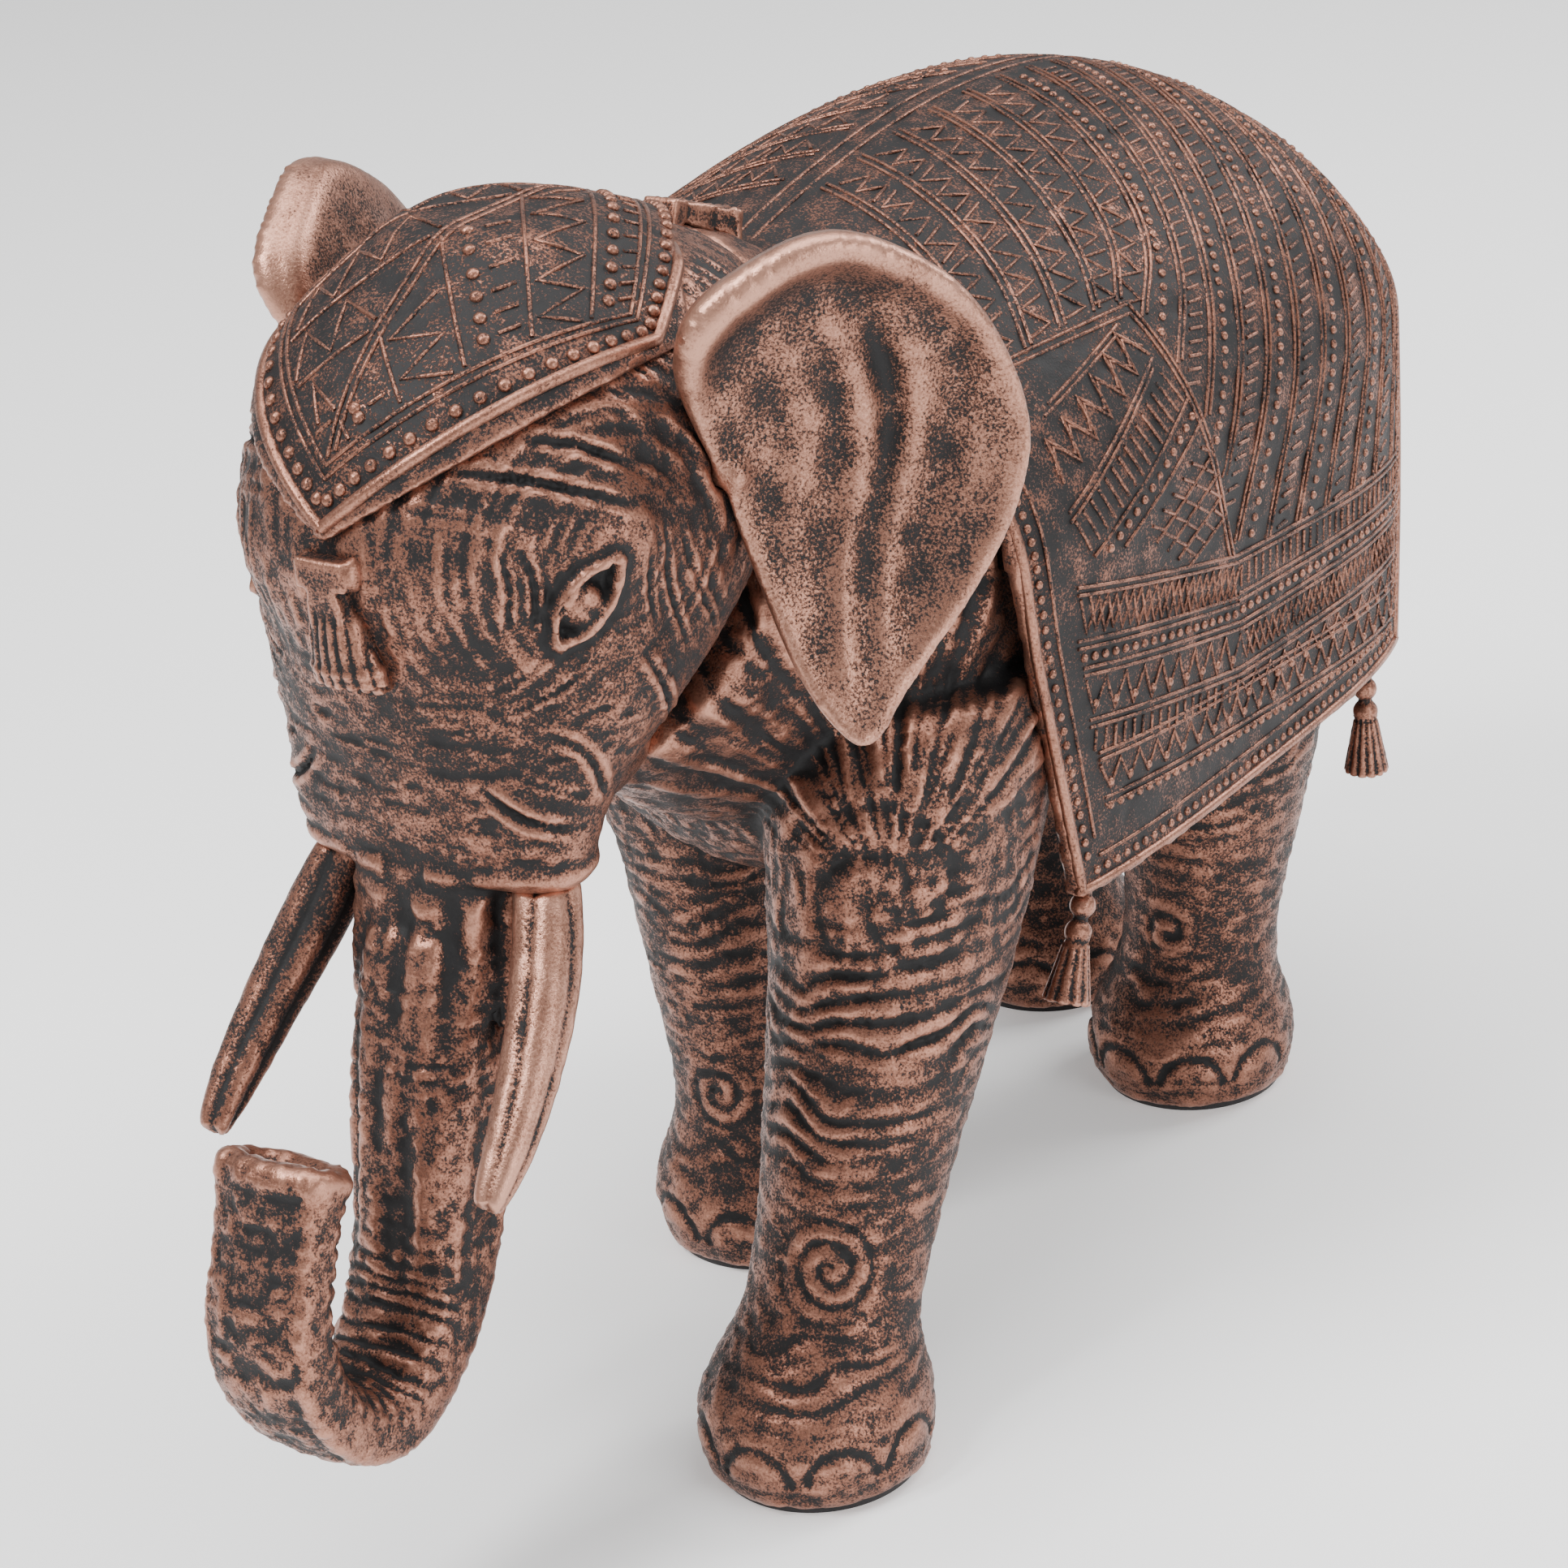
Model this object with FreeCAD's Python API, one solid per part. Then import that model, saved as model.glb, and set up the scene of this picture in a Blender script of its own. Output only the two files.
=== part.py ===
import FreeCAD, Part
import math
import os
from FreeCAD import Matrix, Vector

# A standing elephant figurine, cast in resin as several pieces and glued together.
# It faces -Y, its left side is +X, and it stands on four felt pads at z = 0. Millimetres.
# The pieces are made in a working frame whose X = 0 is the animal's middle plane. At the end they
# all shift along X and Y together, so that the origin lies under the middle of the whole figure.

os.makedirs("parts", exist_ok=True)

# ---------------------------------------------------------------- driving dimensions

# Torso
TORSO_LENGTH = 174.0      # chest to rump
TORSO_WIDTH = 112.0       # across the ribs
BACK_HEIGHT = 199.0       # top of the bare back above the table
BELLY_HEIGHT = 79.0       # underside of the belly above the table
CHEST_Y = -54.0           # front of the chest in the working frame
WALL = 7.0                # wall of the hollow-cast torso

# Legs. A stride is how far a sole stands in front of its hip, and a splay how far outside it.
FRONT_LEFT_SETBACK = 34.0   # left front hip behind the chest
FRONT_RIGHT_SETBACK = 46.0  # right front hip behind the chest
REAR_HIP_SETBACK = 34.0     # rear hips in front of the rump
HIP_INSET = 25.0            # hip centres inside the torso's side
FRONT_RIGHT_HIP_INSET = 34.0  # the right front leg stands under the chest
FRONT_LEFT_STRIDE = 52.0
FRONT_RIGHT_STRIDE = 5.0
REAR_LEFT_STRIDE = 13.0
REAR_RIGHT_STRIDE = -10.0
FRONT_LEFT_SPLAY = 0.5
FRONT_RIGHT_SPLAY = -3.0
REAR_SPLAY = -8.0
SOLE_RADIUS = 18.5
FOOT_RADIUS = 19.6
ANKLE_RADIUS = 15.0
THIGH_RADIUS = 20.0
FOOT_HEIGHT = 26.0        # sole to ankle

# Felt pads under the soles
PAD_THICKNESS = 1.0
PAD_INSET = 1.5           # the pad's edge lies this far inside the sole's edge

# Pour hole in the belly and the plug that closes it
PLUG_RADIUS = 13.0
PLUG_HEAD_THICKNESS = 2.5
PLUG_FLANGE = 2.5         # how far the plug's head reaches past its shank
PLUG_REACH = 3.0          # how far the shank reaches into the hollow
PLUG_SEAT = 0.3           # how far the plug's face lies above the bottom of the belly

# Neck, cut off square where the head is glued on
NECK_RISE = 29.0          # degrees above level
NECK_END_OUT = 8.0        # middle of the cut, in front of the chest
NECK_END_HEIGHT = 162.0
NECK_WIDTH = 68.0
NECK_DEPTH = 88.0
SPIGOT_RADIUS = 16.0
SPIGOT_LENGTH = 14.0

# Head
HEAD_WIDTH = 74.0
HEAD_LENGTH = 92.0
HEAD_HEIGHT = 92.0        # rim of the upper lip to the crown
HEAD_BACK_OUT = -18.0     # back of the head in front of the chest
LIP_HEIGHT = 121.0        # rim of the upper lip above the table
JAW_WIDTH = 38.0

# Trunk
TRUNK_WIDTH = 26.0
TRUNK_DEPTH = 25.0
TRUNK_END_WIDTH = 20.0
TRUNK_END_DEPTH = 11.0
TRUNK_REACH = 53.0        # lip to the front of the hook
TRUNK_DROP = 78.0         # lip to the bottom of the hook
NOSTRIL_DEPTH = 7.0
NOSTRIL_WALL = 2.2
WIRE_RADIUS = 1.5         # steel core wire
WIRE_BEND_RADIUS = 14.0

# Tusks
TUSK_RADIUS = 5.2
TUSK_TIP_RADIUS = 2.0
TUSK_REACH = 31.0
TUSK_DROP = 38.0
TUSK_SPREAD = 8.0         # how much further out the tip stands than the root
TUSK_TRUNK_GAP = 0.5      # between the tusk's root and the trunk
TUSK_PEG_RADIUS = 3.0
TUSK_PEG_LENGTH = 9.0

# Ears
LEFT_EAR_SWEEP = 45.0     # degrees from straight back towards straight out
RIGHT_EAR_SWEEP = 20.0
EAR_LENGTH = 49.0
EAR_HEIGHT = 78.0
EAR_FORWARD = 50.0        # front of the ear's root, in front of the back of the head
EAR_ROOT_SEAT = 0.5       # how far the root lies inside the widest part of the head
EAR_THICKNESS = 4.0
EAR_CUP = 7.0             # how deep the ear is dished
EAR_PEG_RADIUS = 2.0
EAR_PEG_LENGTH = 8.0

# Tail
TAIL_LENGTH = 66.0
TAIL_BELOW_BACK = 56.0
TAIL_RADIUS = 4.2
TAIL_TUFT_RADIUS = 6.0
TAIL_PEG_RADIUS = 2.8
TAIL_PEG_LENGTH = 7.0     # from the rump inwards
TAIL_PEG_OUT = 2.0        # where the peg starts, behind the rump
TAIL_PEG_DROP = 3.0       # the peg's axis below the root

# Saddle blanket
BLANKET_THICKNESS = 3.2
BLANKET_SEAT = 0.8        # how deep its inner face is let into the back
BLANKET_HEM_ABOVE_BELLY = 5.0
BLANKET_ARCH_ABOVE_MIDDLE = 6.0  # the arch over the back starts this far above the torso's middle
BLANKET_FRONT_SETBACK = 24.0     # front edge behind the chest, on the back
BLANKET_FRONT_BULGE = 3.0        # how far the front edge bows forwards at the shoulder
BLANKET_BULGE_ABOVE_MIDDLE = 30.0   # height of that bow above the torso's middle
BLANKET_BULGE_TOP = 8.0          # the bow dies out this far below the top of the back
BLANKET_CORNER_SETBACK = 35.0    # front corners behind the chest
BLANKET_REAR_CORNER_SETBACK = 20.0  # rear corners in front of the rump
BLANKET_REAR_SETBACK = 6.0       # rear edge in front of the rump
BLANKET_HEM_TUCK = 0.5           # how much the hem draws in on each side
REAR_TASSEL_INSET = 15.0         # rear tassels in front of the rear corners
FRONT_TASSEL_LEAN = 25.0         # degrees that the front tassels swing forwards

# Head cloth
CLOTH_THICKNESS = 2.2
CLOTH_SEAT = 0.6
CLOTH_FRONT_BELOW_CROWN = 35.0   # corner on the forehead
CLOTH_BACK_BELOW_CROWN = 11.0    # corner on the nape
CLOTH_SIDE_FORWARD = 50.0        # corners over the ears, in front of the back of the head
CLOTH_SIDE_RISE = 22.0           # how much higher those corners are than the one on the forehead

# Tassels
TASSEL_SKIRT_RADIUS = 4.0
TASSEL_SKIRT_LENGTH = 10.0
TASSEL_KNOT_RADIUS = 2.3
TASSEL_BEAD_RADIUS = 2.2
TASSEL_BEAD_GAP = 0.5     # between the hem and the bead
TASSEL_STEM_RADIUS = 1.2
TASSEL_DROP = 19.0        # hem of the blanket to hem of the tassel
TASSEL_PEG_LENGTH = 4.0   # how far the stem goes up into the blanket
FOREHEAD_TASSEL_WIDTH = 12.5
FOREHEAD_TASSEL_LENGTH = 21.0
FOREHEAD_TASSEL_BELOW_CLOTH = 2.0
NAPE_TASSEL_WIDTH = 9.0
NAPE_TASSEL_LENGTH = 17.0
RELIEF_DEPTH = 3.0        # how far the two flat tassels stand proud

# Clearances
GLUE_GAP = 0.1            # all round every glued joint

X_AXIS, Y_AXIS, Z_AXIS = Vector(1, 0, 0), Vector(0, 1, 0), Vector(0, 0, 1)
RING_POINTS = 16


# ---------------------------------------------------------------- shape helpers

def signed_power(value, exponent):
    return math.copysign(abs(value) ** exponent, value)


def ring(centre, across, up, half_width, half_up, square=2.0):
    """A closed smooth outline round centre. square is 2 for an ellipse, and more for a boxier one."""
    points = []
    for k in range(RING_POINTS):
        angle = 2 * math.pi * k / RING_POINTS - math.pi / 2
        side = signed_power(math.cos(angle), 2 / square)
        rise = signed_power(math.sin(angle), 2 / square)
        points.append(centre + across * (half_width * side) + up * (half_up * rise))
    curve = Part.BSplineCurve()
    curve.interpolate(Points=points, PeriodicFlag=True,
                      Parameters=[k / RING_POINTS for k in range(RING_POINTS + 1)])
    return Part.Wire(curve.toShape())


def loft(rings):
    """A smooth solid through a row of rings."""
    solid = Part.makeLoft(rings, True, False)
    if solid.Volume < 0:
        solid.reverse()
    return solid


def ellipsoid(centre, half_x, half_y, half_z):
    stretch = Matrix()
    stretch.scale(half_x, half_y, half_z)
    shape = Part.makeSphere(1.0).transformGeometry(stretch)
    shape.translate(centre)
    return shape


def rod(start, direction, radius, length):
    return Part.makeCylinder(radius, length, start, direction)


def fused(shapes):
    return shapes[0].multiFuse(shapes[1:]).removeSplitter()


def mirrored(shape):
    return shape.mirror(Vector(0, 0, 0), X_AXIS)


def largest(shape):
    """The one solid that matters, where a cut leaves crumbs beside it."""
    return max(shape.Solids, key=lambda solid: solid.Volume)


def between(rows, share, column):
    """The value in a column of a table of rows at a share that may fall between two rows."""
    for low, high in zip(rows, rows[1:]):
        if low[0] <= share <= high[0]:
            part = (share - low[0]) / (high[0] - low[0])
            return low[column] + part * (high[column] - low[column])
    return rows[-1][column]


def slab(corners, direction):
    """A flat outline pushed straight along a direction."""
    return Part.Face(Part.makePolygon(corners + corners[:1])).extrude(direction)


# ---------------------------------------------------------------- torso

RUMP_Y = CHEST_Y + TORSO_LENGTH
TORSO_HALF_HEIGHT = (BACK_HEIGHT - BELLY_HEIGHT) / 2
TORSO_MIDDLE = BELLY_HEIGHT + TORSO_HALF_HEIGHT

# share of the length from the chest, share of the half width, and how far the back and the
# belly lie from the middle as shares of the half height
TORSO_SHAPE = [
    (0.000, 0.20, 0.00, -0.30),
    (0.012, 0.42, 0.24, -0.52),
    (0.060, 0.64, 0.56, -0.76),
    (0.150, 0.81, 0.80, -0.93),
    (0.300, 0.95, 0.92, -0.98),
    (0.480, 1.00, 0.99, -1.00),
    (0.660, 1.01, 0.98, -1.00),
    (0.820, 0.98, 0.88, -0.95),
    (0.920, 0.87, 0.69, -0.80),
    (0.980, 0.60, 0.38, -0.52),
    (1.000, 0.30, 0.10, -0.28),
]
TORSO_SQUARE = 2.0


def torso(inset=0.0):
    """The barrel of the body, or the hollow inside it when inset is its wall."""
    rings = []
    for share, width, back, belly in TORSO_SHAPE:
        y = CHEST_Y + inset + share * (TORSO_LENGTH - 2 * inset)
        middle = TORSO_MIDDLE + (back + belly) / 2 * TORSO_HALF_HEIGHT
        half_height = (back - belly) / 2 * TORSO_HALF_HEIGHT * (1 - inset / TORSO_HALF_HEIGHT)
        half_width = width * TORSO_WIDTH / 2 * (1 - 2 * inset / TORSO_WIDTH)
        rings.append(ring(Vector(0, y, middle), X_AXIS, Z_AXIS, half_width, half_height, TORSO_SQUARE))
    return loft(rings)


# ---------------------------------------------------------------- legs

SOLE_Z = PAD_THICKNESS
HIP_X = TORSO_WIDTH / 2 - HIP_INSET
FRONT_RIGHT_HIP_X = TORSO_WIDTH / 2 - FRONT_RIGHT_HIP_INSET
HIP_Z = BELLY_HEIGHT + 0.38 * (BACK_HEIGHT - BELLY_HEIGHT)
FRONT_LEFT_HIP_Y = CHEST_Y + FRONT_LEFT_SETBACK
FRONT_RIGHT_HIP_Y = CHEST_Y + FRONT_RIGHT_SETBACK
REAR_HIP_Y = RUMP_Y - REAR_HIP_SETBACK

# name: the side (+1 left, -1 right), the hip's distance from the middle, its y, the stride and the splay
LEGS = {
    "front_left": (1, HIP_X, FRONT_LEFT_HIP_Y, FRONT_LEFT_STRIDE, FRONT_LEFT_SPLAY),
    "front_right": (-1, FRONT_RIGHT_HIP_X, FRONT_RIGHT_HIP_Y, FRONT_RIGHT_STRIDE, FRONT_RIGHT_SPLAY),
    "rear_left": (1, HIP_X, REAR_HIP_Y, REAR_LEFT_STRIDE, REAR_SPLAY),
    "rear_right": (-1, HIP_X, REAR_HIP_Y, REAR_RIGHT_STRIDE, REAR_SPLAY),
}


def sole_centre(side, hip_x, hip_y, stride, splay):
    return Vector(side * (hip_x + splay), hip_y - stride, SOLE_Z)


def leg(side, hip_x, hip_y, stride, splay):
    """A leg from its flat sole up into the torso. The foot stands plumb and the rest leans to the hip."""
    foot = sole_centre(side, hip_x, hip_y, stride, splay)
    hip = Vector(side * hip_x, hip_y, HIP_Z)
    ankle = SOLE_Z + FOOT_HEIGHT
    above = BELLY_HEIGHT - ankle
    rows = [
        (SOLE_Z, SOLE_RADIUS, 1.00),
        (SOLE_Z + 0.14 * FOOT_HEIGHT, FOOT_RADIUS * 0.97, 1.02),
        (SOLE_Z + 0.36 * FOOT_HEIGHT, FOOT_RADIUS, 1.04),
        (SOLE_Z + 0.66 * FOOT_HEIGHT, FOOT_RADIUS * 0.90, 1.02),
        (ankle, ANKLE_RADIUS, 1.00),
        (ankle + 0.30 * above, ANKLE_RADIUS * 1.03, 1.06),
        (ankle + 0.65 * above, (ANKLE_RADIUS + THIGH_RADIUS) / 2, 1.12),
        (BELLY_HEIGHT + 4, THIGH_RADIUS, 1.20),
        (HIP_Z, THIGH_RADIUS * 1.05, 1.25),
    ]
    lean_from = 0.6 * ankle
    rings = []
    for z, radius, stretch in rows:
        lean = max(0.0, (z - lean_from) / (HIP_Z - lean_from)) ** 0.85
        centre = foot + (hip - foot) * lean
        rings.append(ring(Vector(centre.x, centre.y, z), X_AXIS, Y_AXIS, radius, radius * stretch))
    return loft(rings)


def felt_pad(side, hip_x, hip_y, stride, splay):
    base = sole_centre(side, hip_x, hip_y, stride, splay)
    return rod(Vector(base.x, base.y, 0), Z_AXIS, SOLE_RADIUS - PAD_INSET, PAD_THICKNESS)


# ---------------------------------------------------------------- neck and belly plug

NECK_AXIS = Vector(0, -math.cos(math.radians(NECK_RISE)), math.sin(math.radians(NECK_RISE)))
NECK_UP = Vector(0, math.sin(math.radians(NECK_RISE)), math.cos(math.radians(NECK_RISE)))
NECK_END = Vector(0, CHEST_Y - NECK_END_OUT, NECK_END_HEIGHT)
NECK_REACH_BACK = 52.0    # how far the neck runs back into the torso


def neck():
    """A short thick neck that swells into the shoulders and ends in a flat seat for the head."""
    rows = [(1.0, 1.22, 1.04), (0.6, 1.20, 1.06), (0.3, 1.10, 1.03), (0.0, 1.0, 1.0)]
    rings = [ring(NECK_END - NECK_AXIS * NECK_REACH_BACK * share, X_AXIS, NECK_UP,
                  NECK_WIDTH / 2 * wide, NECK_DEPTH / 2 * deep)
             for share, wide, deep in rows]
    return loft(rings)


def in_front_of_neck_cut(gap):
    """A block that fills everything ahead of the plane where neck and head part."""
    reach = 2 * (HEAD_LENGTH + TRUNK_REACH)
    start = NECK_END + NECK_AXIS * gap
    side = X_AXIS * reach
    tall = NECK_UP * reach
    return slab([start - side - tall, start + side - tall, start + side + tall, start - side + tall],
                NECK_AXIS * reach)


def spigot(gap=0.0):
    """The round key on the back of the head, or its socket in the neck when it has a gap."""
    return rod(NECK_END + NECK_AXIS, NECK_AXIS * -1, SPIGOT_RADIUS + gap, SPIGOT_LENGTH + 1 + gap)


PLUG_BASE = Vector(0, (CHEST_Y + RUMP_Y) / 2, BELLY_HEIGHT + PLUG_SEAT)


def belly_plug():
    head = rod(PLUG_BASE, Z_AXIS, PLUG_RADIUS + PLUG_FLANGE, PLUG_HEAD_THICKNESS)
    shank = rod(PLUG_BASE, Z_AXIS, PLUG_RADIUS, WALL + PLUG_REACH)
    return fused([head, shank])


def pour_hole():
    below = PLUG_BASE - Z_AXIS * WALL
    recess = rod(below, Z_AXIS, PLUG_RADIUS + PLUG_FLANGE + GLUE_GAP, WALL + PLUG_HEAD_THICKNESS + GLUE_GAP)
    bore = rod(below, Z_AXIS, PLUG_RADIUS + GLUE_GAP, 2 * WALL + PLUG_REACH)
    return fused([recess, bore])


# ---------------------------------------------------------------- saddle blanket

HEM_Z = BELLY_HEIGHT + BLANKET_HEM_ABOVE_BELLY
HANG_STEPS = 10
# share of the torso's length and share of its half width that the blanket keeps there
BLANKET_SHAPE = [(0.03, 0.80), (0.15, 0.92), (0.30, 1.00), (0.48, 1.02), (0.66, 1.02), (0.82, 0.985),
                 (0.92, 0.90), (0.985, 0.74)]


def over_the_back(y, crown, half_width, rise, backwards):
    """The smooth arch of the blanket over the back, from one flank to the other."""
    points = []
    for k in range(HANG_STEPS + 1):
        angle = math.pi * k / HANG_STEPS
        side = signed_power(math.cos(angle), 2 / TORSO_SQUARE)
        up = signed_power(math.sin(angle), 2 / TORSO_SQUARE)
        points.append(Vector(half_width * side, y, crown + rise * up))
    if backwards:
        points.reverse()
    curve = Part.BSplineCurve()
    curve.interpolate(Points=points, Parameters=[k / HANG_STEPS for k in range(HANG_STEPS + 1)],
                      InitialTangent=Z_AXIS * half_width, FinalTangent=Z_AXIS * -half_width)
    return points[0], points[-1], curve.toShape()


def blanket_ring(share, width, inner, outer):
    """The blanket's section across the body: up one flank, over the back and down the other."""
    y = CHEST_Y + share * TORSO_LENGTH
    top = TORSO_MIDDLE + between(TORSO_SHAPE, share, 2) * TORSO_HALF_HEIGHT
    half = width * TORSO_WIDTH / 2
    crown = TORSO_MIDDLE + BLANKET_ARCH_ABOVE_MIDDLE
    rise = top - crown
    left_out, right_out, arch_out = over_the_back(y, crown, half + outer, rise + outer, False)
    right_in, left_in, arch_in = over_the_back(y, crown, half + inner, rise + inner, True)
    hem = [Vector(side * (half + grow - BLANKET_HEM_TUCK), y, HEM_Z - WALL)
           for side, grow in ((1, outer), (-1, outer), (-1, inner), (1, inner))]
    return Part.Wire([Part.makeLine(hem[0], left_out), arch_out, Part.makeLine(right_out, hem[1]),
                      Part.makeLine(hem[1], hem[2]), Part.makeLine(hem[2], right_in), arch_in,
                      Part.makeLine(left_in, hem[3]), Part.makeLine(hem[3], hem[0])])


def blanket_cut(grow=0.0):
    """The blanket's outline seen from the side, pushed right across the body."""
    sky = BACK_HEIGHT + TORSO_HALF_HEIGHT
    front = CHEST_Y + BLANKET_FRONT_SETBACK - grow
    front_corner = CHEST_Y + BLANKET_CORNER_SETBACK - grow
    rear_corner = RUMP_Y - BLANKET_REAR_CORNER_SETBACK + grow
    rear = RUMP_Y - BLANKET_REAR_SETBACK + grow
    outline = [(front, sky), (front, BACK_HEIGHT - BLANKET_BULGE_TOP),
               (front - BLANKET_FRONT_BULGE, TORSO_MIDDLE + BLANKET_BULGE_ABOVE_MIDDLE),
               (front_corner, HEM_Z - grow), (rear_corner, HEM_Z - grow), (rear, TORSO_MIDDLE), (rear, sky)]
    return slab([Vector(-TORSO_WIDTH, y, z) for y, z in outline], X_AXIS * 2 * TORSO_WIDTH)


def blanket_shell(inner, outer, grow=0.0):
    return loft([blanket_ring(share, width, inner, outer) for share, width in BLANKET_SHAPE]).common(
        blanket_cut(grow))


def saddle_blanket():
    return blanket_shell(-BLANKET_SEAT, BLANKET_THICKNESS - BLANKET_SEAT)


def blanket_room():
    """What is taken off the body so that the blanket can lie on it."""
    return blanket_shell(-BLANKET_SEAT - GLUE_GAP, TORSO_HALF_HEIGHT, GLUE_GAP)


# ---------------------------------------------------------------- head

HEAD_BACK_Y = CHEST_Y - HEAD_BACK_OUT
CROWN_Z = LIP_HEIGHT + HEAD_HEIGHT

# share of the height above the lip, share of the half width, and where the front and the back
# stand as shares of the head's length from its back
LIP_HALF_WIDTH = TRUNK_WIDTH / 2 + TUSK_TRUNK_GAP + 2 * TUSK_RADIUS
LIP = LIP_HALF_WIDTH / (HEAD_WIDTH / 2)
HEAD_SHAPE = [
    (0.00, LIP * 1.00, 0.895, 0.69),
    (0.04, LIP * 1.05, 0.915, 0.67),
    (0.15, LIP * 1.17, 0.930, 0.58),
    (0.27, 0.87, 0.945, 0.36),
    (0.40, 0.95, 0.970, 0.16),
    (0.54, 1.00, 1.000, 0.04),
    (0.68, 0.94, 0.980, 0.00),
    (0.80, 0.84, 0.915, 0.03),
    (0.89, 0.68, 0.815, 0.13),
    (0.96, 0.46, 0.700, 0.29),
    (1.00, 0.21, 0.600, 0.42),
]
HEAD_SQUARE = 2.3


def head_form(outset=0.0):
    """Skull and face as one smooth form, swollen by outset."""
    rings = []
    for share, width, front, back in HEAD_SHAPE:
        z = LIP_HEIGHT + share * HEAD_HEIGHT + outset * (2 * share - 1)
        middle = HEAD_BACK_Y - (front + back) / 2 * HEAD_LENGTH
        half_depth = (front - back) / 2 * HEAD_LENGTH + outset
        rings.append(ring(Vector(0, middle, z), X_AXIS, Y_AXIS, width * HEAD_WIDTH / 2 + outset, half_depth,
                          HEAD_SQUARE))
    return loft(rings)


def jaw():
    """The lower jaw, tucked under the cheeks."""
    centre = Vector(0, HEAD_BACK_Y - 0.56 * HEAD_LENGTH, LIP_HEIGHT + 0.13 * HEAD_HEIGHT)
    return ellipsoid(centre, JAW_WIDTH / 2, 0.22 * HEAD_LENGTH, 0.15 * HEAD_HEIGHT)


LIP_Y = HEAD_BACK_Y - (HEAD_SHAPE[0][2] + HEAD_SHAPE[0][3]) / 2 * HEAD_LENGTH


def at_trunk(forward, drop):
    """A point on the middle plane, as shares of the trunk's reach and drop from the lip."""
    return Vector(0, LIP_Y - forward * TRUNK_REACH, LIP_HEIGHT - drop * TRUNK_DROP)


# forward, drop, and the shares of the way from the root's section to the end's
TRUNK_SHAPE = [
    (-0.02, -0.20, 0.00),
    (0.045, 0.165, 0.08),
    (0.195, 0.385, 0.28),
    (0.32, 0.705, 0.52),
    (0.445, 0.88, 0.74),
    (0.72, 1.00, 0.86),
    (0.97, 0.86, 0.92),
    (1.00, 0.66, 0.97),
    (0.92, 0.50, 1.00),
    (0.85, 0.40, 0.90),
]
TRUNK_SQUARE = 2.6


def trunk():
    points = [at_trunk(forward, drop) for forward, drop, thin in TRUNK_SHAPE]
    line = Part.BSplineCurve()
    line.interpolate(Points=points)
    rings = []
    for point, (forward, drop, thin) in zip(points, TRUNK_SHAPE):
        tangent = line.tangent(line.parameter(point))[0]
        half_width = (TRUNK_WIDTH + (TRUNK_END_WIDTH - TRUNK_WIDTH) * thin) / 2
        half_depth = (TRUNK_DEPTH + (TRUNK_END_DEPTH - TRUNK_DEPTH) * thin) / 2
        rings.append(ring(point, X_AXIS, X_AXIS.cross(tangent), half_width, half_depth, TRUNK_SQUARE))
    return loft(rings)


def nostril():
    end = at_trunk(*TRUNK_SHAPE[-1][:2])
    axis = (end - at_trunk(*TRUNK_SHAPE[-2][:2])).normalize()
    half_width = TRUNK_END_WIDTH / 2 - NOSTRIL_WALL
    half_depth = TRUNK_END_DEPTH / 2 - NOSTRIL_WALL
    deep = ring(end - axis * NOSTRIL_DEPTH, X_AXIS, X_AXIS.cross(axis), half_width * 0.6, half_depth * 0.6)
    mouth = ring(end + axis * 2, X_AXIS, X_AXIS.cross(axis), half_width * 1.1, half_depth * 1.1)
    return loft([deep, mouth])


# bends of the core wire, as forward and drop shares
WIRE_STATIONS = [(0.00, -0.26), (0.17, 0.34), (0.38, 0.86), (0.74, 1.02), (1.00, 0.78), (0.95, 0.55)]


def wire_line():
    """Straight runs joined by tangent arcs, down the middle of the trunk."""
    stations = [at_trunk(forward, drop) for forward, drop in WIRE_STATIONS]
    edges = []
    start = stations[0]
    for before, corner, after in zip(stations, stations[1:], stations[2:]):
        into = (corner - before).normalize()
        out = (after - corner).normalize()
        half_turn = into.getAngle(out) / 2
        shorter = min((corner - before).Length, (after - corner).Length)
        trim = min(0.45 * shorter, WIRE_BEND_RADIUS * math.tan(half_turn))
        radius = trim / math.tan(half_turn)
        first, last = corner - into * trim, corner + out * trim
        centre = corner + (out - into).normalize() * (radius / math.cos(half_turn))
        middle = centre + (corner - centre).normalize() * radius
        edges.append(Part.LineSegment(start, first).toShape())
        edges.append(Part.Arc(first, middle, last).toShape())
        start = last
    edges.append(Part.LineSegment(start, stations[-1]).toShape())
    return Part.Wire(edges)


def core_wire(gap=0.0):
    line = wire_line()
    first = line.Edges[0]
    outline = Part.Wire(Part.makeCircle(WIRE_RADIUS + gap, line.Vertexes[0].Point, first.tangentAt(0)))
    return line.makePipeShell([outline], True, True)


# ---------------------------------------------------------------- tusks

TUSK_ROOT = Vector(TRUNK_WIDTH / 2 + TUSK_TRUNK_GAP + TUSK_RADIUS, LIP_Y - 2, LIP_HEIGHT)
# share of the tusk's length, and its thickness as a share of the way from tip to root
TUSK_SHAPE = [(0.0, 1.0), (0.2, 1.02), (0.45, 0.92), (0.7, 0.68), (0.9, 0.36), (1.0, 0.0)]


def tusk():
    """The left tusk: it drops from the lip, then sweeps forwards and a little outwards."""
    rings = []
    for share, thick in TUSK_SHAPE:
        centre = TUSK_ROOT + Vector(TUSK_SPREAD * math.sin(share * math.pi / 2),
                                    -TUSK_REACH * share ** 1.3, -GLUE_GAP - TUSK_DROP * share)
        tangent = Vector(0, -1.3 * share ** 0.3 * TUSK_REACH, -TUSK_DROP).normalize()
        radius = TUSK_TIP_RADIUS + (TUSK_RADIUS - TUSK_TIP_RADIUS) * thick
        rings.append(ring(centre, X_AXIS, X_AXIS.cross(tangent), radius, radius))
    return loft(rings)


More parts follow.
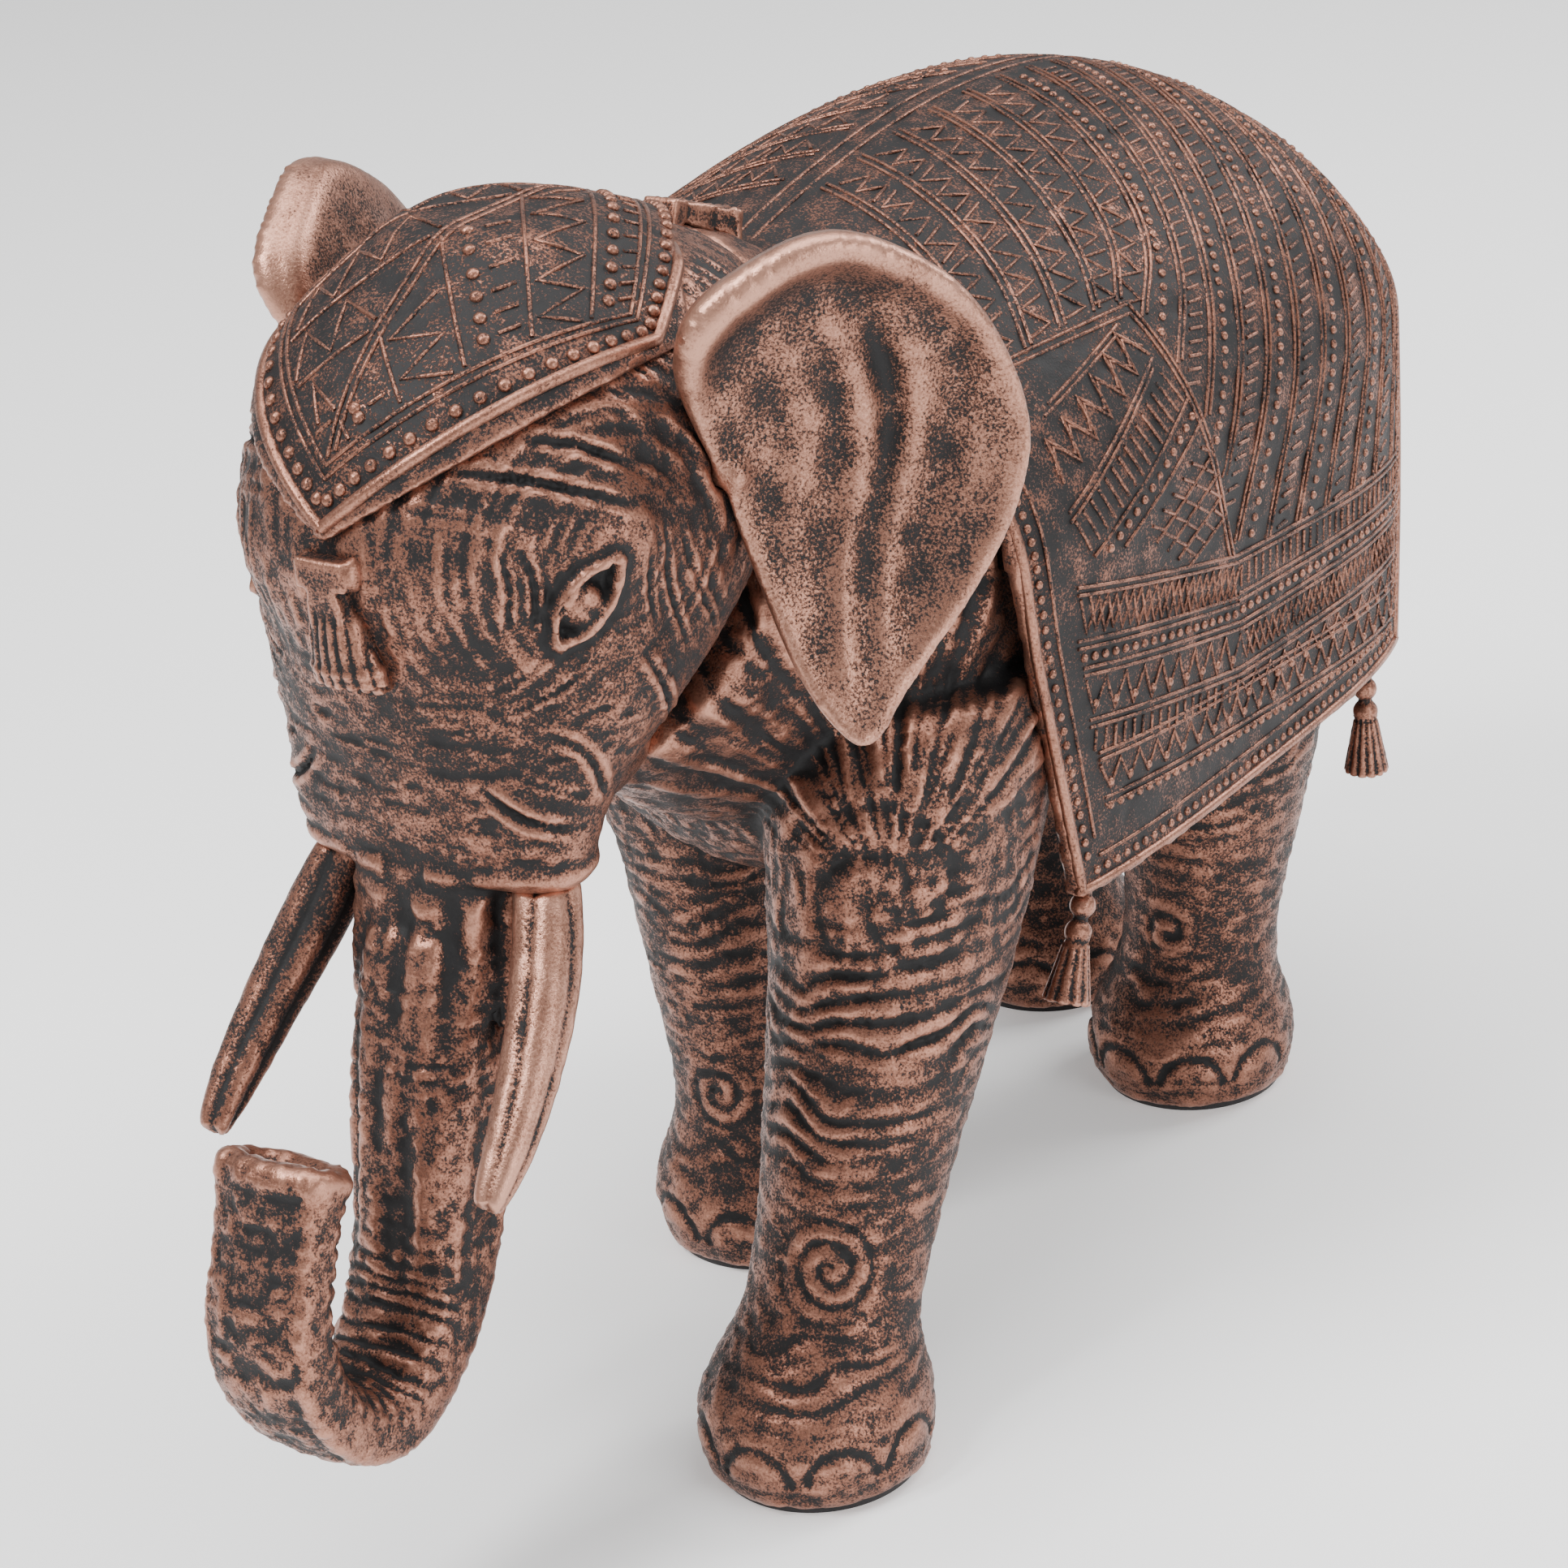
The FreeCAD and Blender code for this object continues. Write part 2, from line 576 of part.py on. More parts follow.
def tusk_peg(gap=0.0):
    return rod(TUSK_ROOT - Z_AXIS, Z_AXIS, TUSK_PEG_RADIUS + gap, TUSK_PEG_LENGTH + 1 + gap)


# ---------------------------------------------------------------- ears

EAR_TOP = CROWN_Z
EAR_ROOT = Vector(HEAD_WIDTH / 2 - EAR_ROOT_SEAT, HEAD_BACK_Y - EAR_FORWARD, 0)


def ear_directions(sweep):
    """Along the ear from its root to its rear edge, and square to it out of the hollow side."""
    along = Vector(math.sin(math.radians(sweep)), math.cos(math.radians(sweep)), 0)
    return along, Vector(along.y, -along.x, 0)


# share of the ear's height above its tip, and where its front and rear edges stand as shares of its length
EAR_SHAPE = [
    (0.00, 0.37, 0.43),
    (0.04, 0.31, 0.50),
    (0.12, 0.24, 0.62),
    (0.26, 0.17, 0.82),
    (0.42, 0.10, 0.96),
    (0.56, 0.03, 1.00),
    (0.68, -0.03, 0.96),
    (0.80, -0.06, 0.87),
    (0.89, 0.00, 0.75),
    (0.95, 0.14, 0.62),
    (1.00, 0.34, 0.44),
]
EAR_DISH_SPAN = (EAR_LENGTH + EAR_HEIGHT) / 4    # the dish is EAR_CUP deep over a circle this far round
EAR_PEG_SHARES = (0.54, 0.69)    # of the ear's height above its tip, both under the head cloth


def ear_leaf(sweep):
    """A leaf cut out of a shallow round dish that is hollow in front, on the left side."""
    along, face = ear_directions(sweep)
    radius = (EAR_DISH_SPAN ** 2 + EAR_CUP ** 2) / (2 * EAR_CUP)
    middle = EAR_ROOT + along * (EAR_LENGTH / 2) + Z_AXIS * (EAR_TOP - EAR_HEIGHT / 2)
    centre = middle + face * (radius - EAR_CUP)
    dish = Part.makeSphere(radius + EAR_THICKNESS / 2, centre).cut(
        Part.makeSphere(radius - EAR_THICKNESS / 2, centre))
    front_edge, rear_edge = [], []
    for share, front, rear in EAR_SHAPE:
        base = EAR_ROOT + Z_AXIS * (EAR_TOP - EAR_HEIGHT * (1 - share)) - face * 3 * EAR_CUP
        front_edge.append(base + along * (EAR_LENGTH * front))
        rear_edge.append(base + along * (EAR_LENGTH * rear))
    outline = Part.BSplineCurve()
    outline.interpolate(Points=front_edge + rear_edge[::-1], PeriodicFlag=True)
    leaf = Part.Face(Part.Wire(outline.toShape())).extrude(face * 6 * EAR_CUP)
    return largest(dish.common(leaf))


def ear_pegs(sweep, gap=0.0):
    """Two pegs, one above the other, from the ear's root into the side of the skull."""
    along = ear_directions(sweep)[0]
    inwards = Vector(-1, 0.1, 0).normalize()
    pegs = []
    for share in EAR_PEG_SHARES:
        root = EAR_ROOT + along * (EAR_LENGTH * 0.13) + Z_AXIS * (EAR_TOP - EAR_HEIGHT * (1 - share))
        pegs.append(rod(root, inwards, EAR_PEG_RADIUS + gap, EAR_PEG_LENGTH + EAR_LENGTH * 0.13 + gap))
    return pegs


def ear(sweep):
    """An ear as it is on the left side, cut to sit against the head and the head cloth."""
    leaf = ear_leaf(sweep).cut(head_form(GLUE_GAP))
    leaf = leaf.cut(head_cloth(0.0, CLOTH_THICKNESS - CLOTH_SEAT + GLUE_GAP, GLUE_GAP))
    return fused([largest(leaf)] + ear_pegs(sweep))


# ---------------------------------------------------------------- tail

TAIL_ROOT = Vector(0, RUMP_Y, BACK_HEIGHT - TAIL_BELOW_BACK)
# share of the length, how far it stands off the root, and thickness as a share of TAIL_RADIUS
TAIL_SHAPE = [(0.00, 0.0, 1.25), (0.08, 3.0, 1.2), (0.3, 6.0, 1.0), (0.6, 6.0, 0.85), (0.72, 5.5, 0.95)]
TUFT_SHAPE = [(0.82, 1.0), (0.92, 0.9), (1.0, 0.3)]


def tail():
    rings = [ring(TAIL_ROOT + Vector(0, off, -TAIL_LENGTH * share), X_AXIS, Y_AXIS,
                  TAIL_RADIUS * size, TAIL_RADIUS * size) for share, off, size in TAIL_SHAPE]
    for share, size in TUFT_SHAPE:
        radius = TAIL_TUFT_RADIUS * size
        rings.append(ring(TAIL_ROOT + Vector(0, 5.5, -TAIL_LENGTH * share), X_AXIS, Y_AXIS,
                          radius, radius * 0.8))
    return loft(rings)


def tail_peg(gap=0.0):
    start = TAIL_ROOT + Vector(0, TAIL_PEG_OUT, -TAIL_PEG_DROP)
    return rod(start, Y_AXIS * -1, TAIL_PEG_RADIUS + gap, TAIL_PEG_LENGTH + 2 * TAIL_PEG_OUT + gap)


# ---------------------------------------------------------------- head cloth

CLOTH_FRONT_Z = CROWN_Z - CLOTH_FRONT_BELOW_CROWN
CLOTH_BACK_Y = HEAD_BACK_Y - 0.08 * HEAD_LENGTH
CLOTH_SIDE_Y = HEAD_BACK_Y - CLOTH_SIDE_FORWARD


def cloth_cut(grow=0.0):
    """The cloth's diamond: its front edges make a V from in front, its rear edges one from above."""
    half = HEAD_WIDTH / 2
    slope = CLOTH_SIDE_RISE / half
    low = CLOTH_FRONT_Z - grow * 1.2
    sky = CROWN_Z + HEAD_HEIGHT
    far = HEAD_BACK_Y - 2 * HEAD_LENGTH
    front_v = slab([Vector(0, far, low), Vector(2 * half, far, low + 2 * half * slope), Vector(2 * half, far, sky),
                    Vector(-2 * half, far, sky), Vector(-2 * half, far, low + 2 * half * slope)],
                   Y_AXIS * 3 * HEAD_LENGTH)
    back = CLOTH_BACK_Y + grow * 1.4
    side = back + 2 * (CLOTH_SIDE_Y - CLOTH_BACK_Y)
    rear_v = slab([Vector(0, back, 0), Vector(2 * half, side, 0), Vector(2 * half, far, 0),
                   Vector(-2 * half, far, 0), Vector(-2 * half, side, 0)], Z_AXIS * sky)
    return front_v.common(rear_v).common(in_front_of_neck_cut(GLUE_GAP))


def head_cloth(inner=-CLOTH_SEAT, outer=CLOTH_THICKNESS - CLOTH_SEAT, grow=0.0):
    return largest(head_form(outer).cut(head_form(inner)).common(cloth_cut(grow)))


def cloth_room():
    return head_cloth(-CLOTH_SEAT - GLUE_GAP, 10 * CLOTH_THICKNESS, GLUE_GAP)


# ---------------------------------------------------------------- tassels

def hanging_tassel(top, lean, side):
    """A tassel on a stem: bead, knot and flared skirt. It hangs from top and swings forwards by lean."""
    skirt_top = TASSEL_DROP - TASSEL_SKIRT_LENGTH
    knot_z = skirt_top - 0.8 * TASSEL_KNOT_RADIUS
    bead_z = TASSEL_BEAD_RADIUS + TASSEL_BEAD_GAP
    stem = rod(Z_AXIS * -skirt_top, Z_AXIS, TASSEL_STEM_RADIUS, skirt_top + TASSEL_PEG_LENGTH)
    bead = Part.makeSphere(TASSEL_BEAD_RADIUS, Z_AXIS * -bead_z)
    knot = Part.makeSphere(TASSEL_KNOT_RADIUS, Z_AXIS * -knot_z)
    skirt = Part.makeCone(TASSEL_KNOT_RADIUS * 0.9, TASSEL_SKIRT_RADIUS, TASSEL_SKIRT_LENGTH,
                          Z_AXIS * -skirt_top, Z_AXIS * -1)
    return hung(fused([stem, bead, knot, skirt]), top, lean, side)


def tassel_hole(top, lean, side):
    """The hole in the hem that takes the tassel's stem."""
    hole = rod(Z_AXIS * -2 * TASSEL_STEM_RADIUS, Z_AXIS, TASSEL_STEM_RADIUS + GLUE_GAP,
               2 * TASSEL_STEM_RADIUS + TASSEL_PEG_LENGTH + GLUE_GAP)
    return hung(hole, top, lean, side)


def hung(shape, top, lean, side):
    """Something made hanging from the origin, swung forwards and moved to its place on one side."""
    shape.rotate(Vector(0, 0, 0), X_AXIS, -lean)
    shape.translate(Vector(side * top.x, top.y, top.z))
    return shape


def flat_tassel(top, down, outwards, width, length):
    """A tassel in relief that lies against a surface: a crossbar of a knot over a flared skirt."""
    across = X_AXIS
    knot_length = 0.22 * length
    depth = RELIEF_DEPTH * 3
    knot = slab([top - across * width * 0.36, top + across * width * 0.36,
                 top + across * width * 0.36 + down * knot_length,
                 top - across * width * 0.36 + down * knot_length], outwards * depth)
    waist = top + down * knot_length
    skirt = slab([waist - across * width * 0.20, waist + across * width * 0.20,
                  top + across * width * 0.5 + down * length,
                  top - across * width * 0.5 + down * length], outwards * depth)
    shape = fused([knot, skirt])
    shape.translate(outwards * -2 * RELIEF_DEPTH)
    return shape


def forehead_tassel(head):
    """It hangs on the forehead, just under the front corner of the cloth."""
    top = Vector(0, HEAD_BACK_Y - HEAD_LENGTH, CLOTH_FRONT_Z - FOREHEAD_TASSEL_BELOW_CLOTH)
    blank = flat_tassel(top, Z_AXIS * -1, Y_AXIS * -1, FOREHEAD_TASSEL_WIDTH, FOREHEAD_TASSEL_LENGTH)
    return largest(blank.common(head_form(RELIEF_DEPTH)).cut(head_form(GLUE_GAP)).cut(head))


def nape_tassel(body, head, blanket, cloth):
    """It lies along the neck, between the back corner of the cloth and the blanket."""
    down = Vector(0, 0.93, -0.37).normalize()
    top = Vector(0, CLOTH_BACK_Y, CROWN_Z - CLOTH_BACK_BELOW_CROWN)
    outwards = X_AXIS.cross(down)
    blank = flat_tassel(top, down, outwards, NAPE_TASSEL_WIDTH, NAPE_TASSEL_LENGTH)
    for neighbour in (body, head, blanket, cloth):
        blank = blank.cut(neighbour)
    return largest(blank)


# ---------------------------------------------------------------- assembly

def blanket_corner(y):
    """Where a tassel leaves the blanket's hem at y, in the middle of its thickness, on the left side."""
    half = between(BLANKET_SHAPE, (y - CHEST_Y) / TORSO_LENGTH, 1) * TORSO_WIDTH / 2
    return Vector(half - BLANKET_HEM_TUCK - BLANKET_SEAT + BLANKET_THICKNESS / 2, y, HEM_Z)


# end of the blanket: where its tassels hang on the left side, and how far they lean
CORNERS = {
    "front": (blanket_corner(CHEST_Y + BLANKET_CORNER_SETBACK + TASSEL_SKIRT_RADIUS), FRONT_TASSEL_LEAN),
    "rear": (blanket_corner(RUMP_Y - BLANKET_REAR_CORNER_SETBACK - REAR_TASSEL_INSET), 0.0),
}
SIDES = {"left": 1, "right": -1}


def body_casting():
    body = fused([torso(), neck()] + [leg(*row) for row in LEGS.values()])
    body = largest(body.cut(in_front_of_neck_cut(0.0)).cut(blanket_room()))
    for hollow in (torso(WALL), pour_hole(), spigot(GLUE_GAP), tail_peg(GLUE_GAP)):
        body = body.cut(hollow)
    return largest(body)


def head_casting():
    ahead = in_front_of_neck_cut(GLUE_GAP)
    head = fused([head_form().common(ahead), jaw().common(ahead), trunk(), spigot()])
    holes = ear_pegs(LEFT_EAR_SWEEP, GLUE_GAP)
    holes += [mirrored(hole) for hole in ear_pegs(RIGHT_EAR_SWEEP, GLUE_GAP)]
    holes += [tusk_peg(GLUE_GAP), mirrored(tusk_peg(GLUE_GAP)), core_wire(GLUE_GAP), nostril(), cloth_room()]
    for hole in holes:
        head = head.cut(hole)
    return largest(head)


def build():
    body = body_casting()
    head = head_casting()
    cloth = head_cloth()
    holes = [tassel_hole(top, lean, side) for top, lean in CORNERS.values() for side in SIDES.values()]
    blanket = largest(saddle_blanket().cut(holes))
    left_tusk = fused([largest(tusk().cut(head)), tusk_peg()])
    rump = torso(-GLUE_GAP).cut(tail_peg())

    nodes = {
        "body_casting": body,
        "belly_plug": belly_plug(),
        "head_casting": head,
        "trunk_core_wire": core_wire(),
        "left_ear": ear(LEFT_EAR_SWEEP),
        "right_ear": mirrored(ear(RIGHT_EAR_SWEEP)),
        "left_tusk": left_tusk,
        "right_tusk": mirrored(left_tusk),
        "tail": largest(fused([tail(), tail_peg()]).cut(rump)),
        "saddle_blanket": blanket,
        "head_cloth": cloth,
        "forehead_tassel": forehead_tassel(head),
        "nape_tassel": nape_tassel(body, head, blanket, cloth),
    }
    for end, (top, lean) in CORNERS.items():
        for side_name, side in SIDES.items():
            piece = hanging_tassel(top, lean, side).cut(body)
            nodes["%s_%s_tassel" % (side_name, end)] = largest(piece)
    for name, row in LEGS.items():
        nodes["%s_felt_pad" % name] = felt_pad(*row)
    return nodes


NODES = build()
box = Part.makeCompound(list(NODES.values())).optimalBoundingBox()
middle = Vector((box.XMin + box.XMax) / 2, (box.YMin + box.YMax) / 2, 0)
for name, shape in NODES.items():
    shape.translate(middle * -1)
    shape.exportStep("parts/%s.step" % name)
    print(name, len(shape.Solids), round(shape.Volume), "valid" if shape.isValid() else "INVALID")
print("moved by", round(-middle.x, 3), round(-middle.y, 3), "overall", round(box.XLength, 2),
      round(box.YLength, 2), round(box.ZLength, 2), "from z", round(box.ZMin, 3))
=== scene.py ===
import math
import bmesh
import bpy
import numpy as np
from mathutils import Matrix, Vector
from mathutils.bvhtree import BVHTree
from mathutils.kdtree import KDTree


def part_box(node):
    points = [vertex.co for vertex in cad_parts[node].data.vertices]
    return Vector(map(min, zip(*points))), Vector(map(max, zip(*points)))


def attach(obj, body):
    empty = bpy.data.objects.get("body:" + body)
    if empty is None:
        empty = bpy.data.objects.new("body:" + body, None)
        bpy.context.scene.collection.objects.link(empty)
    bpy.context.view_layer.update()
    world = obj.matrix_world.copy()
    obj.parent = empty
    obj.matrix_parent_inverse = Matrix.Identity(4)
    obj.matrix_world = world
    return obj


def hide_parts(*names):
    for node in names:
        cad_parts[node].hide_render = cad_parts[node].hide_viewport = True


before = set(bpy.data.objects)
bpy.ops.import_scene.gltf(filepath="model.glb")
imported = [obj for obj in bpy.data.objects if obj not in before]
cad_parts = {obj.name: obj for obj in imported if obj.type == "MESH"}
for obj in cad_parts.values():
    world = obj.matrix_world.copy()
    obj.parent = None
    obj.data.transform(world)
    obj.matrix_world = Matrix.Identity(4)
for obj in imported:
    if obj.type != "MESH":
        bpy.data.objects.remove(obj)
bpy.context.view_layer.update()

SCENE = bpy.context.scene

# ------------------------------------------------------------------ camera, lights and table
# A long lens looks down on the left side of the face. The table and the light are plain and pale.
# Places are given in millimetres on the figure: x to its left and y to its rump.

# the plug under the belly lies on the middle plane, this far behind the point y is counted from
PLUG_BEHIND = 0.033
plug_low, plug_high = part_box("belly_plug")
HOME = np.array([(plug_low.x + plug_high.x) / 2, (plug_low.y + plug_high.y) / 2 - PLUG_BEHIND, 0.0])


def place(points):
    """Millimetres on the figure to metres in the frame."""
    return np.asarray(points, float) / 1000 + HOME


VIEW_TURN, VIEW_DOWN, VIEW_ROLL = math.radians(35.95), math.radians(24.0), math.radians(-4.896)
VIEW_DISTANCE, LENS = 0.65, 90.1
LOOK_AT = (9.881, -36.347, 103.867)

backwards = Vector((math.sin(VIEW_TURN) * math.cos(VIEW_DOWN), -math.cos(VIEW_TURN) * math.cos(VIEW_DOWN),
                    math.sin(VIEW_DOWN)))
level = Vector((0, 0, 1)).cross(backwards).normalized()
upright = backwards.cross(level)
right = level * math.cos(VIEW_ROLL) + upright * math.sin(VIEW_ROLL)
top = upright * math.cos(VIEW_ROLL) - level * math.sin(VIEW_ROLL)
camera = bpy.data.objects.new("camera", bpy.data.cameras.new("camera"))
camera.data.lens = LENS
camera.data.sensor_width = 36.0
camera.data.clip_start = 0.01
camera.matrix_world = Matrix((
    (right.x, top.x, backwards.x, place(LOOK_AT)[0] + backwards.x * VIEW_DISTANCE),
    (right.y, top.y, backwards.y, place(LOOK_AT)[1] + backwards.y * VIEW_DISTANCE),
    (right.z, top.z, backwards.z, place(LOOK_AT)[2] + backwards.z * VIEW_DISTANCE),
    (0, 0, 0, 1)))
SCENE.collection.objects.link(camera)
SCENE.camera = camera


def softbox(name, place_m, size, watts, colour=(1.0, 1.0, 1.0)):
    light = bpy.data.lights.new(name, "AREA")
    light.shape, light.size = "SQUARE", size
    light.energy, light.color = watts, colour
    lamp = bpy.data.objects.new(name, light)
    lamp.location = place_m
    lamp.rotation_euler = (Vector((0, 0, 0.1)) - Vector(place_m)).to_track_quat("-Z", "Y").to_euler()
    SCENE.collection.objects.link(lamp)


softbox("key", (-0.25, -0.65, 0.95), 0.35, 11.0)
softbox("fill", (0.95, -0.25, 0.35), 0.50, 4.5)
softbox("rim", (0.45, 0.85, 0.75), 0.50, 8.0)
softbox("overhead", (0.0, 0.1, 1.3), 1.0, 15.0)
world = bpy.data.worlds.new("studio")
world.use_nodes = True
world.node_tree.nodes["Background"].inputs["Color"].default_value = (1.0, 1.0, 1.0, 1.0)
world.node_tree.nodes["Background"].inputs["Strength"].default_value = 0.50
SCENE.world = world

table_mesh = bpy.data.meshes.new("table")
TABLE = 6.0
table_mesh.from_pydata([(-TABLE, -TABLE, 0), (TABLE, -TABLE, 0), (TABLE, TABLE, 0), (-TABLE, TABLE, 0)], [],
                       [(0, 1, 2, 3)])
table = bpy.data.objects.new("table", table_mesh)
SCENE.collection.objects.link(table)
table_paint = bpy.data.materials.new("table_white")
table_paint.use_nodes = True
table_shader = table_paint.node_tree.nodes["Principled BSDF"]
table_shader.inputs["Base Color"].default_value = (0.93, 0.93, 0.93, 1.0)
table_shader.inputs["Roughness"].default_value = 0.9
table_shader.inputs["Emission Color"].default_value = (1.0, 1.0, 1.0, 1.0)
table_shader.inputs["Emission Strength"].default_value = 0.30
table_mesh.materials.append(table_paint)


# ------------------------------------------------------------------ body
# The hollow casting of torso, neck and legs, moulded with its folds, knee whorls and toenails.
# The resin is black. Copper wax is dry-brushed over it, so it takes on whatever stands proud and
# leaves the folds dark, with a fine speckle where the brush skips.

COPPER = (0.44, 0.215, 0.15)
BLACK_RESIN = (0.008, 0.0075, 0.008)
SPECKLE, BLOTCH = 0.00045, 0.007
BARE_ROUGHNESS, RUBBED_ROUGHNESS = 0.58, 0.34


def rubbed_resin(name, copper, coverage):
    """coverage shifts how much of the surface the copper takes; crest on the mesh says what is proud."""
    paint = bpy.data.materials.new(name)
    paint.use_nodes = True
    nodes, wire = paint.node_tree.nodes, paint.node_tree.links.new
    shader = nodes["Principled BSDF"]
    where = nodes.new("ShaderNodeTexCoord")

    def cloud(size, detail, rough):
        grain = nodes.new("ShaderNodeTexNoise")
        grain.inputs["Scale"].default_value = 1.0 / size
        grain.inputs["Detail"].default_value = detail
        grain.inputs["Roughness"].default_value = rough
        wire(where.outputs["Object"], grain.inputs["Vector"])
        return grain.outputs["Fac"]

    def sum_of(value, factor, addend):
        both = nodes.new("ShaderNodeMath")
        both.operation = "MULTIPLY_ADD"
        wire(value, both.inputs[0])
        both.inputs[1].default_value = factor
        if isinstance(addend, float):
            both.inputs[2].default_value = addend
        else:
            wire(addend, both.inputs[2])
        return both.outputs[0]

    crest = nodes.new("ShaderNodeAttribute")
    crest.attribute_name = "crest"
    speckle = cloud(SPECKLE, 3.0, 0.7)
    blotch = cloud(BLOTCH, 4.0, 0.6)
    amount = sum_of(crest.outputs["Fac"], 1.9, sum_of(speckle, 2.0, sum_of(blotch, 1.1, coverage - 2.0)))
    rub = nodes.new("ShaderNodeMapRange")
    rub.inputs["From Min"].default_value = 0.40
    rub.inputs["From Max"].default_value = 0.66
    wire(amount, rub.inputs["Value"])

    tint = nodes.new("ShaderNodeMix")
    tint.data_type = "RGBA"
    tint.inputs["A"].default_value = (copper[0] * 0.40, copper[1] * 0.34, copper[2] * 0.32, 1.0)
    tint.inputs["B"].default_value = (*copper, 1.0)
    full = nodes.new("ShaderNodeMapRange")
    full.inputs["From Min"].default_value = 0.55
    full.inputs["From Max"].default_value = 1.25
    wire(amount, full.inputs["Value"])
    wire(full.outputs["Result"], tint.inputs["Factor"])
    colour = nodes.new("ShaderNodeMix")
    colour.data_type = "RGBA"
    colour.inputs["A"].default_value = (*BLACK_RESIN, 1.0)
    shader.inputs["Specular IOR Level"].default_value = 0.28
    wire(tint.outputs["Result"], colour.inputs["B"])
    wire(rub.outputs["Result"], colour.inputs["Factor"])
    wire(colour.outputs["Result"], shader.inputs["Base Color"])
    wire(sum_of(rub.outputs["Result"], 0.85, 0.0), shader.inputs["Metallic"])
    wire(sum_of(rub.outputs["Result"], RUBBED_ROUGHNESS - BARE_ROUGHNESS, BARE_ROUGHNESS),
         shader.inputs["Roughness"])

    bump = nodes.new("ShaderNodeBump")
    bump.inputs["Strength"].default_value = 0.5
    bump.inputs["Distance"].default_value = 0.00018
    wire(sum_of(rub.outputs["Result"], 0.6, speckle), bump.inputs["Height"])
    wire(bump.outputs["Normal"], shader.inputs["Normal"])
    return paint


hide = rubbed_resin("hide_copper", COPPER, -0.06)


def steady_noise(points, size, seed):
    """Smooth random values from -1 to 1 in blotches about size across."""
    table = np.random.default_rng(seed).uniform(-1, 1, (32, 32, 32))
    spot = np.asarray(points) / size
    cell = np.floor(spot).astype(int)
    part = spot - cell
    part = part * part * (3 - 2 * part)
    total = np.zeros(len(spot))
    for corner in range(8):
        step = [(corner >> k) & 1 for k in range(3)]
        weight = np.ones(len(spot))
        for k in range(3):
            weight *= part[:, k] if step[k] else 1 - part[:, k]
        index = [(cell[:, k] + step[k]) % 32 for k in range(3)]
        total += weight * table[index[0], index[1], index[2]]
    return total


def evaluated(obj):
    """The object's mesh with its modifiers applied, as a new mesh."""
    bpy.context.view_layer.update()
    shown = obj.evaluated_get(bpy.context.evaluated_depsgraph_get())
    return bpy.data.meshes.new_from_object(shown)


def measure(points):
    """Metres in the frame to millimetres on the figure."""
    return (np.asarray(points, float) - HOME) * 1000


def read(mesh):
    """The mesh's vertices, in millimetres on the figure, and its edges."""
    points = np.empty(len(mesh.vertices) * 3)
    mesh.vertices.foreach_get("co", points)
    edges = np.empty(len(mesh.edges) * 2, dtype=np.int32)
    mesh.edges.foreach_get("vertices", edges)
    return measure(points.reshape(-1, 3)), edges.reshape(-1, 2)


def write(mesh, points):
    mesh.vertices.foreach_set("co", place(points).ravel())
    mesh.update()


def normals(mesh):
    out = np.empty(len(mesh.vertices) * 3)
    mesh.vertex_normals.foreach_get("vector", out)
    return out.reshape(-1, 3)


def relax(values, edges, times):
    """Averages each vertex with its neighbours, times over."""
    first, second = edges[:, 0], edges[:, 1]
    count = len(values)
    degree = np.bincount(first, minlength=count) + np.bincount(second, minlength=count)
    for _ in range(times):
        mean = np.stack([
            np.bincount(first, weights=values[second, k], minlength=count)
            + np.bincount(second, weights=values[first, k], minlength=count) for k in range(3)], axis=1)
        values = 0.5 * values + 0.5 * mean / np.maximum(degree, 1)[:, None]
    return values


def solid_copy(nodes, voxel, extra=()):
    """One closed skin, in even quads, around CAD nodes and any extra meshes."""
    form = bmesh.new()
    for node in nodes:
        form.from_mesh(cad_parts[node].data)
    for mesh in extra:
        form.from_mesh(mesh)
    bmesh.ops.remove_doubles(form, verts=form.verts, dist=1e-6)
    mesh = bpy.data.meshes.new("rough")
    form.to_mesh(mesh)
    form.free()
    obj = bpy.data.objects.new("rough", mesh)
    SCENE.collection.objects.link(obj)
    skin = obj.modifiers.new("skin", "REMESH")
    skin.mode = "VOXEL"
    skin.voxel_size = voxel / 1000
    result = evaluated(obj)
    bpy.data.objects.remove(obj)
    return result


def rub_height(mesh, voxel, reach, full):
    """Stores crest: how proud a vertex stands of the skin around it, 0.5 where it is level."""
    points, edges = read(mesh)
    times = max(4, int(2 * (reach / voxel) ** 2))
    proud = ((points - relax(points, edges, times)) * normals(mesh)).sum(1)
    crest = np.clip(0.5 + proud / full, 0, 1).astype(np.float32)
    layer = mesh.attributes.new("crest", "FLOAT", "POINT")
    layer.data.foreach_set("value", crest)


ROOT = "root"


def finish(name, mesh, paint, slot, *nodes):
    """Smooth-shades a piece, gives it its finish and puts it in the place of its CAD nodes."""
    mesh.materials.clear()
    mesh.materials.append(paint)
    mesh.polygons.foreach_set("use_smooth", np.ones(len(mesh.polygons), dtype=bool))
    mesh.update()
    piece = bpy.data.objects.new(name, mesh)
    SCENE.collection.objects.link(piece)
    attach(piece, ROOT)
    if nodes:
        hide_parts(*nodes)
    return piece


def bell(distance, width):
    return np.exp(-(distance / width) ** 2)


def curve_through(line, step=1.0):
    """Evenly stepped points on a smooth curve through a few given ones."""
    knots = np.asarray(line, float)
    ends = np.vstack([2 * knots[0] - knots[1], knots, 2 * knots[-1] - knots[-2]])
    out = []
    for k in range(1, len(ends) - 2):
        a, b, c, d = ends[k - 1:k + 3]
        turns = max(2, int(np.linalg.norm(c - b) / step))
        t = np.linspace(0, 1, turns, endpoint=False)[:, None]
        out.append(0.5 * (2 * b + (c - a) * t + (2 * a - 5 * b + 4 * c - d) * t ** 2
                          + (3 * b - a - 3 * c + d) * t ** 3))
    return np.vstack(out + [knots[-1:]])


